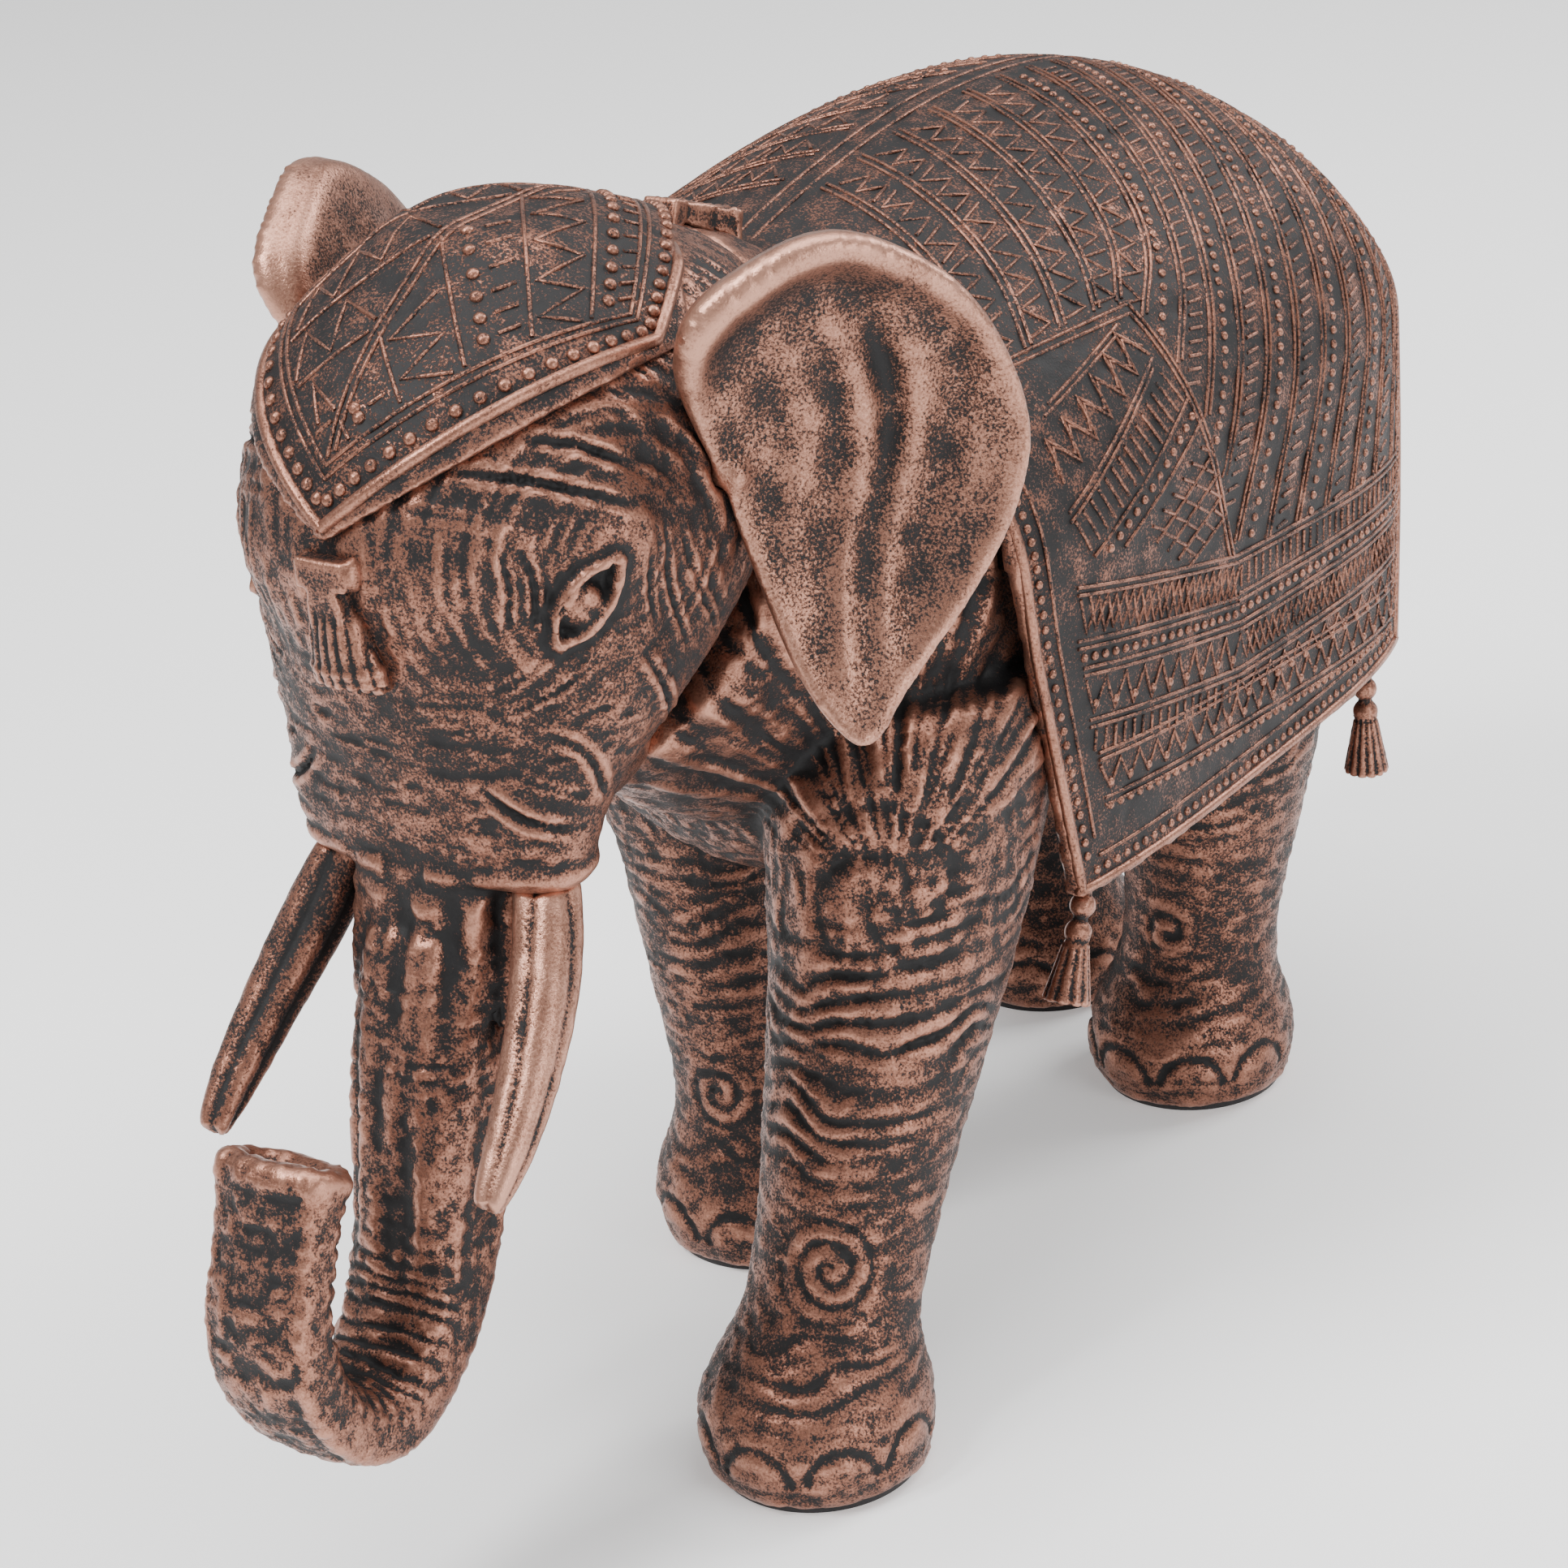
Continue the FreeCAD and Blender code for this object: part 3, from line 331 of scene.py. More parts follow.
def crease(points, line, width, depth):
    """A groove along a curve, fading to its ends, with a little fold raised each side."""
    path = curve_through(line)
    near = np.all((points > path.min(0) - 4 * width) & (points < path.max(0) + 4 * width), axis=1)
    out = np.zeros(len(points))
    if not near.any():
        return out
    gaps = np.linalg.norm(points[near, None, :] - path[None, :, :], axis=2)
    nearest = gaps.argmin(1)
    distance = gaps.min(1)
    fade = np.sin(np.pi * (nearest + 0.5) / len(path)) ** 0.6
    out[near] = fade * depth * (0.45 * bell(distance - 1.7 * width, width) - bell(distance, 0.8 * width))
    return out


BODY_VOXEL = 0.9
MOST_TRIANGLES = 190000
CORE_SHARE = 0.86

# a core a little smaller than the torso fills the hollow, so that the new skin has no inner wall
body_vertices = read(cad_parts["body_casting"].data)[0]
INSIDE = body_vertices[(body_vertices[:, 2] > 88) & (body_vertices[:, 1] > -46)]
middle = (INSIDE.max(0) + INSIDE.min(0)) / 2
core = bmesh.new()
for point in place(middle + (INSIDE - middle) * CORE_SHARE)[::3]:
    core.verts.new(point)
hull = bmesh.ops.convex_hull(core, input=core.verts)
bmesh.ops.delete(core, geom=[item for item in hull["geom_interior"] if isinstance(item, bmesh.types.BMVert)],
                 context="VERTS")
bmesh.ops.recalc_face_normals(core, faces=core.faces)
core_mesh = bpy.data.meshes.new("core")
core.to_mesh(core_mesh)
core.free()

body_mesh = solid_copy(["body_casting", "belly_plug"], BODY_VOXEL, [core_mesh])
skin, body_edges = read(body_mesh)
skin = relax(skin, body_edges, 6)
write(body_mesh, skin)
across, along, height = skin.T

# foot centre, leg's lean towards the hip, front of the foot as a turn from -y, and fold depth
LEG_PLAN = {
    "front_left": ((31.5, -72.0), (0.0, 0.50), 0.45, 1.8),
    "front_right": ((-19.0, -13.0), (-0.03, 0.05), 0.0, 0.8),
    "rear_left": ((23.0, 73.0), (0.07, 0.12), 0.15, 0.85),
    "rear_right": ((-23.0, 96.0), (-0.07, -0.10), 0.0, 0.8),
}
FOLD_SPACING = 4.1
NAIL_TURNS = (-1.15, -0.4, 0.35, 1.1)

lift = np.zeros(len(skin))
drift = steady_noise(skin, 9.0, 3)
for (foot_x, foot_y), (lean_x, lean_y), ahead, depth in LEG_PLAN.values():
    rise = np.maximum(height - 16, 0)
    off_x = across - (foot_x + lean_x * rise)
    off_y = along - (foot_y + lean_y * rise)
    own = (np.hypot(off_x, off_y) < 25) & (height < 112)
    turn = np.arctan2(off_x, -off_y) - ahead
    turn = (turn + np.pi) % (2 * np.pi) - np.pi
    phase = (height + 3.6 * drift + 2.4 * np.cos(turn)) / FOLD_SPACING
    fold = np.abs(np.sin(np.pi * phase)) ** 0.6 - 0.75
    band = bell(height - 78, 27) + 0.45 * bell(height - 22, 7)
    face = 0.12 + 0.88 * np.clip(np.cos(turn - 0.25), 0, 1)
    broken = np.clip(0.8 + 0.9 * steady_noise(skin * (0.6, 0.6, 1.2), 8.0, 11), 0.1, 1.4)
    lift += np.where(own, depth * fold * band * face * broken, 0)
    for nail in NAIL_TURNS:
        side = (turn - nail) * 19.0
        up = height - 6.0
        reach = np.sqrt((side / 5.6) ** 2 + (up / 6.0) ** 2)
        plate = 0.35 * np.clip(1 - reach ** 4, 0, 1) - 0.65 * bell(reach - 1.08, 0.13) * (up > 0)
        lift += np.where((np.hypot(off_x, off_y) < 25) & (height < 22), plate, 0)

# knee whorls
for centre, size in (((37.5, -73.5, 38.0), 10.5), ((-17.0, -27.0, 34.0), 8.5), ((26.0, 58.0, 36.0), 8.0)):
    off = skin - np.array(centre)
    radius = np.linalg.norm(off, axis=1)
    swing = np.arctan2(off[:, 2], off[:, 0] + 0.4 * off[:, 1])
    whorl = np.abs(np.sin(np.pi * (radius / 3.6 - swing / (2 * np.pi)))) ** 0.5 - 0.7
    fresh = np.clip((size - radius) / 3.0, 0, 1)
    lift = lift * (1 - fresh) + 1.0 * fresh * whorl

# fans of long grooves down the neck and chest to the shoulder, and swirls out over the shoulder
SHOULDER = np.array([41.0, -52.0, 98.0])
off = skin - SHOULDER
off[:, 0] = np.abs(across) - SHOULDER[0]
spread = np.arctan2(off[:, 1] * 0.6 + off[:, 0], off[:, 2])
distance = np.linalg.norm(off, axis=1)
fan = np.stack([spread * 26.0, distance * 0.13, np.sign(across) * 5.0], axis=1)
groove = steady_noise(fan, 1.5, 21) + 0.5 * steady_noise(fan, 0.8, 22)
chest = np.clip((height - 100) / 14, 0, 1) * np.clip((-8 - along) / 12, 0, 1)
lift += 1.0 * chest * groove
swirl = np.abs(np.sin(distance / 2.3 + 1.4 * spread)) ** 0.6 - 0.7
lift += 0.9 * swirl * bell(distance - 9, 8) * (along < -20)

# fine skin everywhere, drawn out sideways on the legs and lengthways on the rump
fine = steady_noise(skin * (0.45, 0.45, 1.3), 1.6, 31) + 0.7 * steady_noise(skin, 1.1, 32)
lift += 0.26 * fine
down_flank = steady_noise(skin * (1.4, 1.4, 0.25), 1.9, 33)
lift += 0.42 * down_flank * np.clip((height - 75) / 20, 0, 1) * (1 - chest)
below_blanket = (along > -24) & (along < 110) & (height > 86)
lift = np.where(below_blanket, np.minimum(lift, 0.0) * 0.5, lift)
lift *= np.clip(height / 2.0, 0, 1)

write(body_mesh, skin + normals(body_mesh) * lift[:, None])
rub_height(body_mesh, BODY_VOXEL, 2.4, 1.5)


def thinned(mesh, triangles):
    """The mesh brought down to about so many triangles, flat places first."""
    mesh.calc_loop_triangles()
    obj = bpy.data.objects.new("thinned", mesh)
    SCENE.collection.objects.link(obj)
    thin = obj.modifiers.new("thin", "DECIMATE")
    thin.ratio = min(1.0, triangles / len(mesh.loop_triangles))
    result = evaluated(obj)
    bpy.data.objects.remove(obj)
    return result


finish("body", thinned(body_mesh, MOST_TRIANGLES), hide, "hide", "body_casting", "belly_plug")


# ------------------------------------------------------------------ head
# Skull, face, jaw and trunk in one casting. The lip ends in a rolled rim that the trunk and the
# tusks come out of.

HEAD_VOXEL = 0.72
head_mesh = solid_copy(["head_casting", "trunk_core_wire"], HEAD_VOXEL)
face, head_edges = read(head_mesh)
face = relax(face, head_edges, 5)
write(head_mesh, face)
across, along, height = face.T
side = np.abs(across)
mirror_face = np.stack([side, along, height], axis=1)
lift = np.zeros(len(face))

# brow, temple hollow, cheek bone and the dome of the forehead
for centre, width, amount in (
        ((34.0, -103.0, 176.5), 7.5, 3.0), ((33.0, -95.0, 163.0), 8.0, -1.4), ((27.0, -115.0, 168.0), 5.5, -2.0),
        ((31.0, -104.0, 150.0), 10.0, 1.8), ((24.0, -114.0, 128.0), 8.0, 1.2), ((20.0, -122.0, 160.0), 7.0, -1.0),
        ((14.0, -124.0, 172.0), 12.0, 1.0)):
    lift += amount * bell(np.linalg.norm(mirror_face - np.array(centre), axis=1), width)

# the eye: a ball between two raised lids, in an almond that slants down and forwards
EYE = np.array([31.4, -110.0, 166.8])
EYE_LONG = np.array([-0.34, -0.56, -0.75])
EYE_OUT = np.array([0.80, -0.58, 0.15])
EYE_ACROSS = np.cross(EYE_OUT, EYE_LONG)
HALF_LONG, HALF_WIDE = 6.6, 2.7
off = mirror_face - EYE
a = off @ EYE_LONG / HALF_LONG
b = off @ EYE_ACROSS
near_eye = np.linalg.norm(off, axis=1) < 14
lid_line = HALF_WIDE * np.clip(1 - a ** 2, 0, 1) ** 0.8
inside = np.abs(b) < lid_line
gap = np.abs(b) - lid_line
beyond = np.clip(np.abs(a) - 1, 0, 9) * HALF_LONG
rim = np.hypot(gap, beyond)
eye_lift = 1.25 * bell(rim - 0.6, 0.7) - 0.45 * bell(rim - 2.4, 0.7)
ball = np.sqrt(np.clip(1 - ((off @ EYE_LONG - 0.8) / 4.0) ** 2 - (b / 3.4) ** 2, 0, 1))
eye_lift = np.where(inside, -1.3 + 2.4 * ball + 0.9 * bell(gap, 0.35), eye_lift)
lift = np.where(near_eye & inside, 0.25 * lift, lift) + np.where(near_eye, eye_lift, 0)

# creases of the brow, cheek and mouth: points on the left side, width, depth
FACE_CREASES = [
    ([(25, -111, 191), (29.5, -105, 188.5), (33, -98, 183)], 1.1, 1.0),
    ([(18, -120, 188), (27, -112, 185), (33.5, -102, 179)], 1.1, 1.1),
    ([(13, -124, 183), (20, -120, 181), (26, -115, 177)], 1.0, 0.8),
    ([(29, -97, 195), (33, -94, 189), (35, -95, 180)], 0.8, 0.8),
    ([(27, -92, 198), (33, -89, 192), (36, -89, 184)], 0.8, 0.8),
    ([(32, -88, 194), (36, -85, 186), (37, -86, 177)], 0.8, 0.7),
    ([(26.5, -117, 176), (27.5, -116, 170), (27, -116.5, 164)], 0.9, 1.0),
    ([(24, -119.5, 178), (25, -119, 171), (24, -119.5, 163)], 0.8, 0.7),
    ([(36, -101, 177), (35.5, -100, 169), (34, -98, 159)], 0.9, 1.0),
    ([(36, -97, 176), (36, -95.5, 166), (34, -91, 154)], 0.9, 1.1),
    ([(36.5, -93, 173), (36.5, -89, 163), (33, -81, 150)], 0.8, 0.8),
    ([(37, -88, 172), (37, -84, 162), (33.5, -77, 150)], 0.7, 0.7),
    ([(34, -101, 156), (33.5, -97.5, 150), (30.5, -92, 142)], 1.1, 1.3),
    ([(26, -114.5, 147), (29, -110.5, 143), (28.5, -106, 134)], 1.1, 1.2),
    ([(21, -118, 141), (26, -114, 138), (29, -107, 134)], 0.8, 0.8),
    ([(16, -119.5, 138.5), (21, -117, 134), (26, -112.5, 131.5)], 1.1, 1.2),
    ([(29, -114, 161), (24.5, -117.5, 156.5), (20, -120, 154)], 0.9, 0.8),
    ([(31, -108, 158), (27, -113.5, 154), (22, -118, 151)], 0.7, 0.6),
]
for line, width, depth in FACE_CREASES:
    lift += crease(mirror_face, line, 0.72 * width, 1.15 * depth)

# level scratches low on the face, and brushed skin round the brow
low_face = np.clip((160 - height) / 12, 0, 1) * np.clip((height - 121) / 3, 0, 1) * (along < -95)
scratch = steady_noise(face * (0.20, 0.36, 1.0), 1.05, 41)
lift -= 0.75 * low_face * np.clip(scratch - 0.15, 0, 1)
crown = np.clip((height - 152) / 10, 0, 1)
arc = np.linalg.norm(mirror_face - np.array([33, -104, 172]), axis=1)
brush = steady_noise(np.stack([arc * 1.2, height * 0.22, side * 0.22], axis=1), 1.3, 42)
lift += 0.40 * crown * brush * np.clip((arc - 3) / 6, 0, 1)
lift += 0.16 * steady_noise(face, 1.3, 43)
lift += 0.9 * bell(height - 123.0, 1.6) * (along < -88) * (side > 4)

# trunk: flats and long ridges in front, rings inside the hook, a ribbed outer face
TRUNK_LINE = [(0, -113, 118), (0, -119, 91), (0, -126, 66), (0, -132.5, 52.5), (0, -147, 43), (0, -160, 54),
              (0, -162, 70), (0, -157.7, 82), (0, -154, 90)]
trunk_path = curve_through(TRUNK_LINE, 0.6)
steps = np.linalg.norm(np.diff(trunk_path, axis=0), axis=1)
travelled = np.concatenate([[0], np.cumsum(steps)])
on_trunk = (height < 121) & (along < -100)
low = face[on_trunk]
gaps = np.linalg.norm(low[:, None, 1:] - trunk_path[None, :, 1:], axis=2)
nearest = gaps.argmin(1)
way = travelled[nearest]
heading = np.gradient(trunk_path, axis=0)[nearest]
heading /= np.linalg.norm(heading, axis=1)[:, None]
from_line = low - trunk_path[nearest]
inner = from_line[:, 1] * heading[:, 2] - from_line[:, 2] * heading[:, 1]
wobble = steady_noise(low, 5.0, 51)
ring_phase = (way + 1.2 * wobble) / 3.3
rings = np.abs(np.sin(np.pi * ring_phase)) ** 0.6 - 0.7
hooked = np.clip((way - 52) / 14, 0, 1)
inside_bend = np.clip(inner / 5, 0, 1)
outside_bend = np.clip(-inner / 5, 0, 1)
trunk_lift = 0.95 * rings * hooked * inside_bend
knurl = steady_noise(np.stack([low[:, 0] * 0.25, np.zeros(len(low)), way], axis=1), 1.7, 55)
trunk_lift += 0.45 * knurl * hooked * outside_bend * (np.abs(low[:, 0]) < 7.5)
trunk_lift += 0.9 * hooked * outside_bend * bell(np.abs(low[:, 0]) - 9.0, 1.2)
upper = 1 - hooked
long_ridges = steady_noise(np.stack([low[:, 0], inner, way * 0.07], axis=1), 2.8, 52)
trunk_lift += 1.2 * upper * long_ridges
trunk_lift -= 0.6 * upper * np.clip(steady_noise(low * (0.2, 0.3, 1.0), 1.3, 53) - 0.2, 0, 1)
trunk_lift += 0.30 * steady_noise(low, 1.2, 54)
trunk_lift += 0.9 * np.clip((way - travelled[-1] + 6) / 6, 0, 1)
lift[on_trunk] = trunk_lift * np.clip((121 - low[:, 2]) / 3, 0, 1)

write(head_mesh, face + normals(head_mesh) * lift[:, None])
rub_height(head_mesh, HEAD_VOXEL, 2.2, 1.35)
finish("head", thinned(head_mesh, MOST_TRIANGLES), hide, "hide", "head_casting", "trunk_core_wire")


# ------------------------------------------------------------------ ears
# Thin cast leaves, glued into the sides of the skull. The top edge rolls forwards, and the
# hollow face has three soft folds running down to the tip.

EAR_VOXEL = 0.60
LEFT_SWEEP, RIGHT_SWEEP = 45, 20
bright_hide = rubbed_resin("bright_copper", (0.50, 0.26, 0.185), 0.10)


def make_ear(name, node, sweep_degrees, mirror):
    mesh = solid_copy([node], EAR_VOXEL)
    points, edges = read(mesh)
    sweep = math.radians(sweep_degrees)
    along_ear = np.array([mirror * math.sin(sweep), math.cos(sweep), 0])
    out_of_hollow = np.array([mirror * math.cos(sweep), -math.sin(sweep), 0])
    root = np.array([mirror * 36.5, -86.0, 0])
    pegs = root + along_ear * 6.4 + np.array([[0, 0, 177.1], [0, 0, 188.8]])
    flat = np.min(np.linalg.norm(points[:, None, :] - pegs[None], axis=2), axis=1)
    softened = relax(points, edges, 70)
    points = relax(points, edges, 9)
    points += (softened - points) * np.clip((6.0 - flat) / 2.5, 0, 1)[:, None]
    write(mesh, points)
    reach = (points - root) @ along_ear
    height = points[:, 2]
    facing = normals(mesh) @ out_of_hollow
    on_face, on_back = np.clip(facing, 0, 1), np.clip(-facing, 0, 1)

    rim = KDTree(int((np.abs(facing) < 0.35).sum()))
    for k, point in enumerate(points[np.abs(facing) < 0.35]):
        rim.insert(point, k)
    rim.balance()
    from_edge = np.array([rim.find(point)[2] for point in points])

    roll = 0.7 + 3.6 * np.clip((height - 186) / 16, 0, 1) * np.clip(1 - reach / 60, 0.2, 1)
    push = roll * bell(from_edge, 1.6 + 1.2 * roll) * (on_face + 0.35 * on_back)
    push -= 1.2 * bell(from_edge - 9, 3) * np.clip((height - 186) / 16, 0, 1) * on_face
    for start, bend, low_end, width, amount in (
            (18, 25, 17, 2.8, 2.2), (29, 34, 22, 3.0, 1.9), (12, 14, 13, 2.4, 1.4), (23.5, 29, 19.5, 2.4, -2.0),
            (38, 40, 27, 3.2, -1.2)):
        share = (202 - height) / 62
        middle = start + (bend - start) * np.sin(np.pi * np.clip(share, 0, 1)) + (low_end - start) * share
        middle = middle + 2.2 * np.sin(share * 7.0)
        fade = np.clip((from_edge - 2) / 5, 0, 1) * np.clip((206 - height) / 14, 0, 1)
        push += amount * bell(reach - middle, width) * fade * (on_face - 0.5 * on_back)
    streaks = steady_noise(np.stack([reach, facing, height * 0.15], axis=1), 1.2, 61)
    push = relax(np.stack([push, push, push], axis=1), edges, 24)[:, 0]
    push += 0.06 * streaks + 0.05 * steady_noise(points, 1.4, 62)
    write(mesh, relax(points + normals(mesh) * push[:, None], edges, 10))
    rub_height(mesh, EAR_VOXEL, 3.6, 3.6)
    finish(name, mesh, bright_hide, "hide", node)


make_ear("left_ear_leaf", "left_ear", LEFT_SWEEP, 1)
make_ear("right_ear_leaf", "right_ear", RIGHT_SWEEP, -1)


# ------------------------------------------------------------------ tusks and tail
# The tusks are cast apart and glued under the lip, fluted along their length. The tail hangs
# against the rump and ends in a tuft.

# a darker copy of the hide finish, with less copper, for the right tusk on the far side: painted shade
painted_shade_hide = rubbed_resin("painted_shade_copper", COPPER, -0.34)


def make_fluted(name, node, voxel, flutes, paint, slot, seed):
    mesh = solid_copy([node], voxel)
    points, edges = read(mesh)
    points = relax(points, edges, 4)
    write(mesh, points)
    shift = points - points.mean(0)
    centre = [np.polyval(np.polyfit(shift[:, 2], shift[:, k], 3), shift[:, 2]) for k in (0, 1)]
    turn = np.arctan2(shift[:, 0] - centre[0], shift[:, 1] - centre[1])
    push = 0.75 * (np.abs(np.cos(flutes * turn / 2 + 0.5)) ** 0.7 - 0.6)
    push += 0.10 * steady_noise(points * (1, 1, 0.2), 1.4, seed)
    write(mesh, points + normals(mesh) * push[:, None])
    rub_height(mesh, voxel, 2.0, 1.1)
    finish(name, mesh, paint, slot, node)


# the tusks take lit and shaded copies of one finish: the brighter copy on the left tusk is painted highlight, the
# darker copy on the right tusk is painted shade
make_fluted("left_tusk_horn", "left_tusk", 0.5, 5, bright_hide, "tusk", 71)
make_fluted("right_tusk_horn", "right_tusk", 0.5, 5, painted_shade_hide, "tusk", 72)
make_fluted("tail_rope", "tail", 0.6, 6, hide, "hide", 73)


# ------------------------------------------------------------------ saddle blanket
# A thick cast cloth over the back, down to just below the flanks. Its border carries a rim, a row
# of beads and a second rim; inside are patches of bands with zigzags, bars, nets and small beads.

BLANKET_VOXEL = 1.0
BLANKET_TRIANGLES = 150000
CROWN_Z, ARCH_REACH = 145.0, 97.0
RAYS_FROM = 150.0
THREAD, BEAD, ROLLED_RIM, BEAD_PITCH = 0.34, 0.80, 0.95, 2.6
cloth_resin = rubbed_resin("cloth_resin", COPPER, -0.20)
raised_thread = rubbed_resin("raised_thread", COPPER, -0.26)
rim_resin = rubbed_resin("rim_resin", COPPER, -0.02)


def surface(node):
    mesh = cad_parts[node].data
    corners = [vertex.co[:] for vertex in mesh.vertices]
    return BVHTree.FromPolygons(corners, [face.vertices[:] for face in mesh.polygons])


def cast_on(tree, outside, inside):
    """Where the line from outside to inside first meets the surface, and the surface's normal there."""
    start, end = Vector(place(outside)), Vector(place(inside))
    spot, normal, _, _ = tree.ray_cast(start, (end - start).normalized())
    if spot is None:
        spot, normal, _, _ = tree.find_nearest(end)
    if normal.dot(start - end) < 0:
        normal = -normal
    return measure(spot), np.array(normal)


blanket_tree = surface("saddle_blanket")


def on_blanket(y, down, side):
    """A point of the blanket, down mm from the ridge of the back over the arch and along the flank."""
    if down < ARCH_REACH:
        angle = math.pi / 2 * (1 - down / ARCH_REACH)
        direction = np.array([side * math.cos(angle), 0, math.sin(angle)])
        centre = np.array([0, y, CROWN_Z])
    else:
        direction = np.array([side, 0, 0])
        centre = np.array([0, y, CROWN_Z - (down - ARCH_REACH)])
    return cast_on(blanket_tree, centre + direction * RAYS_FROM, centre)


blanket_mesh = solid_copy(["saddle_blanket"], BLANKET_VOXEL)
points, edges = read(blanket_mesh)
points = relax(points, edges, 2)
write(blanket_mesh, points)
push = 0.16 * steady_noise(points, 2.2, 81) + 0.12 * steady_noise(points * (1, 0.3, 0.3), 1.3, 82)
write(blanket_mesh, points + normals(blanket_mesh) * push[:, None])
rub_height(blanket_mesh, BLANKET_VOXEL, 2.4, 1.6)
finish("saddle_blanket_cloth", thinned(blanket_mesh, BLANKET_TRIANGLES), cloth_resin, "cloth", "saddle_blanket")


def new_tree(name, sockets):
    tree = bpy.data.node_groups.new(name, "GeometryNodeTree")
    tree.interface.new_socket("Geometry", in_out="INPUT", socket_type="NodeSocketGeometry")
    tree.interface.new_socket("Geometry", in_out="OUTPUT", socket_type="NodeSocketGeometry")
    for label, kind, value in sockets:
        socket = tree.interface.new_socket(label, in_out="INPUT", socket_type=kind)
        if value is not None:
            socket.default_value = value
    return tree


def ending(tree, geometry, group_in):
    """Realize Instances and Set Material close every tree."""
    wire = tree.links.new
    real = tree.nodes.new("GeometryNodeRealizeInstances")
    smooth = tree.nodes.new("GeometryNodeSetShadeSmooth")
    paint = tree.nodes.new("GeometryNodeSetMaterial")
    out = tree.nodes.new("NodeGroupOutput")
    wire(geometry, real.inputs["Geometry"])
    wire(real.outputs["Geometry"], smooth.inputs["Geometry"])
    wire(smooth.outputs["Geometry"], paint.inputs["Geometry"])
    wire(group_in.outputs["Finish"], paint.inputs["Material"])
    wire(paint.outputs["Geometry"], out.inputs["Geometry"])


def cord_tree():
    """Raised cords: every drawn line becomes a low round ridge."""
    tree = new_tree("raised_cords", [("Radius", "NodeSocketFloat", 0.0004), ("Finish", "NodeSocketMaterial", None)])
    wire = tree.links.new
    group_in = tree.nodes.new("NodeGroupInput")
    curve = tree.nodes.new("GeometryNodeMeshToCurve")
    ridge = tree.nodes.new("GeometryNodeCurveToMesh")
    section = tree.nodes.new("GeometryNodeCurvePrimitiveCircle")
    section.inputs["Resolution"].default_value = 6
    ridge.inputs["Fill Caps"].default_value = True
    wire(group_in.outputs["Geometry"], curve.inputs["Mesh"])
    wire(group_in.outputs["Radius"], section.inputs["Radius"])
    wire(curve.outputs["Curve"], ridge.inputs["Curve"])
    wire(section.outputs["Curve"], ridge.inputs["Profile Curve"])
    ending(tree, ridge.outputs["Mesh"], group_in)
    return tree


def bead_tree():
    """Beads: a flattened ball on each point, turned to face out of the cloth."""
    tree = new_tree("beads", [("Radius", "NodeSocketFloat", 0.001), ("Finish", "NodeSocketMaterial", None)])
    wire = tree.links.new
    group_in = tree.nodes.new("NodeGroupInput")
    ball = tree.nodes.new("GeometryNodeMeshUVSphere")
    ball.inputs["Segments"].default_value = 10
    ball.inputs["Rings"].default_value = 6
    wire(group_in.outputs["Radius"], ball.inputs["Radius"])
    facing = tree.nodes.new("GeometryNodeInputNamedAttribute")
    facing.data_type = "FLOAT_VECTOR"
    facing.inputs["Name"].default_value = "facing"
    turn = tree.nodes.new("FunctionNodeAlignRotationToVector")
    turn.axis = "Z"
    wire(facing.outputs["Attribute"], turn.inputs["Vector"])
    strew = tree.nodes.new("GeometryNodeInstanceOnPoints")
    strew.inputs["Scale"].default_value = (1.0, 1.0, 0.75)
    to_points = tree.nodes.new("GeometryNodeMeshToPoints")
    wire(group_in.outputs["Geometry"], to_points.inputs["Mesh"])
    wire(to_points.outputs["Points"], strew.inputs["Points"])
    wire(ball.outputs["Mesh"], strew.inputs["Instance"])
    wire(turn.outputs["Rotation"], strew.inputs["Rotation"])
    ending(tree, strew.outputs["Instances"], group_in)
    return tree


CORDS, BEADS = cord_tree(), bead_tree()


def grown(name, tree, mesh, radius, paint, crest=0.72):
    """The tree's result on a drawn mesh, as a plain piece."""
    obj = bpy.data.objects.new(name + "_drawn", mesh)
    SCENE.collection.objects.link(obj)
    nodes = obj.modifiers.new("nodes", "NODES")
    nodes.node_group = tree
    for item in tree.interface.items_tree:
        if item.item_type == "SOCKET" and item.in_out == "INPUT":
            if item.name == "Radius":
                nodes[item.identifier] = radius / 1000
            elif item.name == "Finish":
                nodes[item.identifier] = paint
    result = evaluated(obj)
    bpy.data.objects.remove(obj)
    layer = result.attributes.new("crest", "FLOAT", "POINT")
    layer.data.foreach_set("value", np.full(len(result.vertices), crest, dtype=np.float32))
    piece = bpy.data.objects.new(name, result)
    SCENE.collection.objects.link(piece)
    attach(piece, ROOT)
    return piece


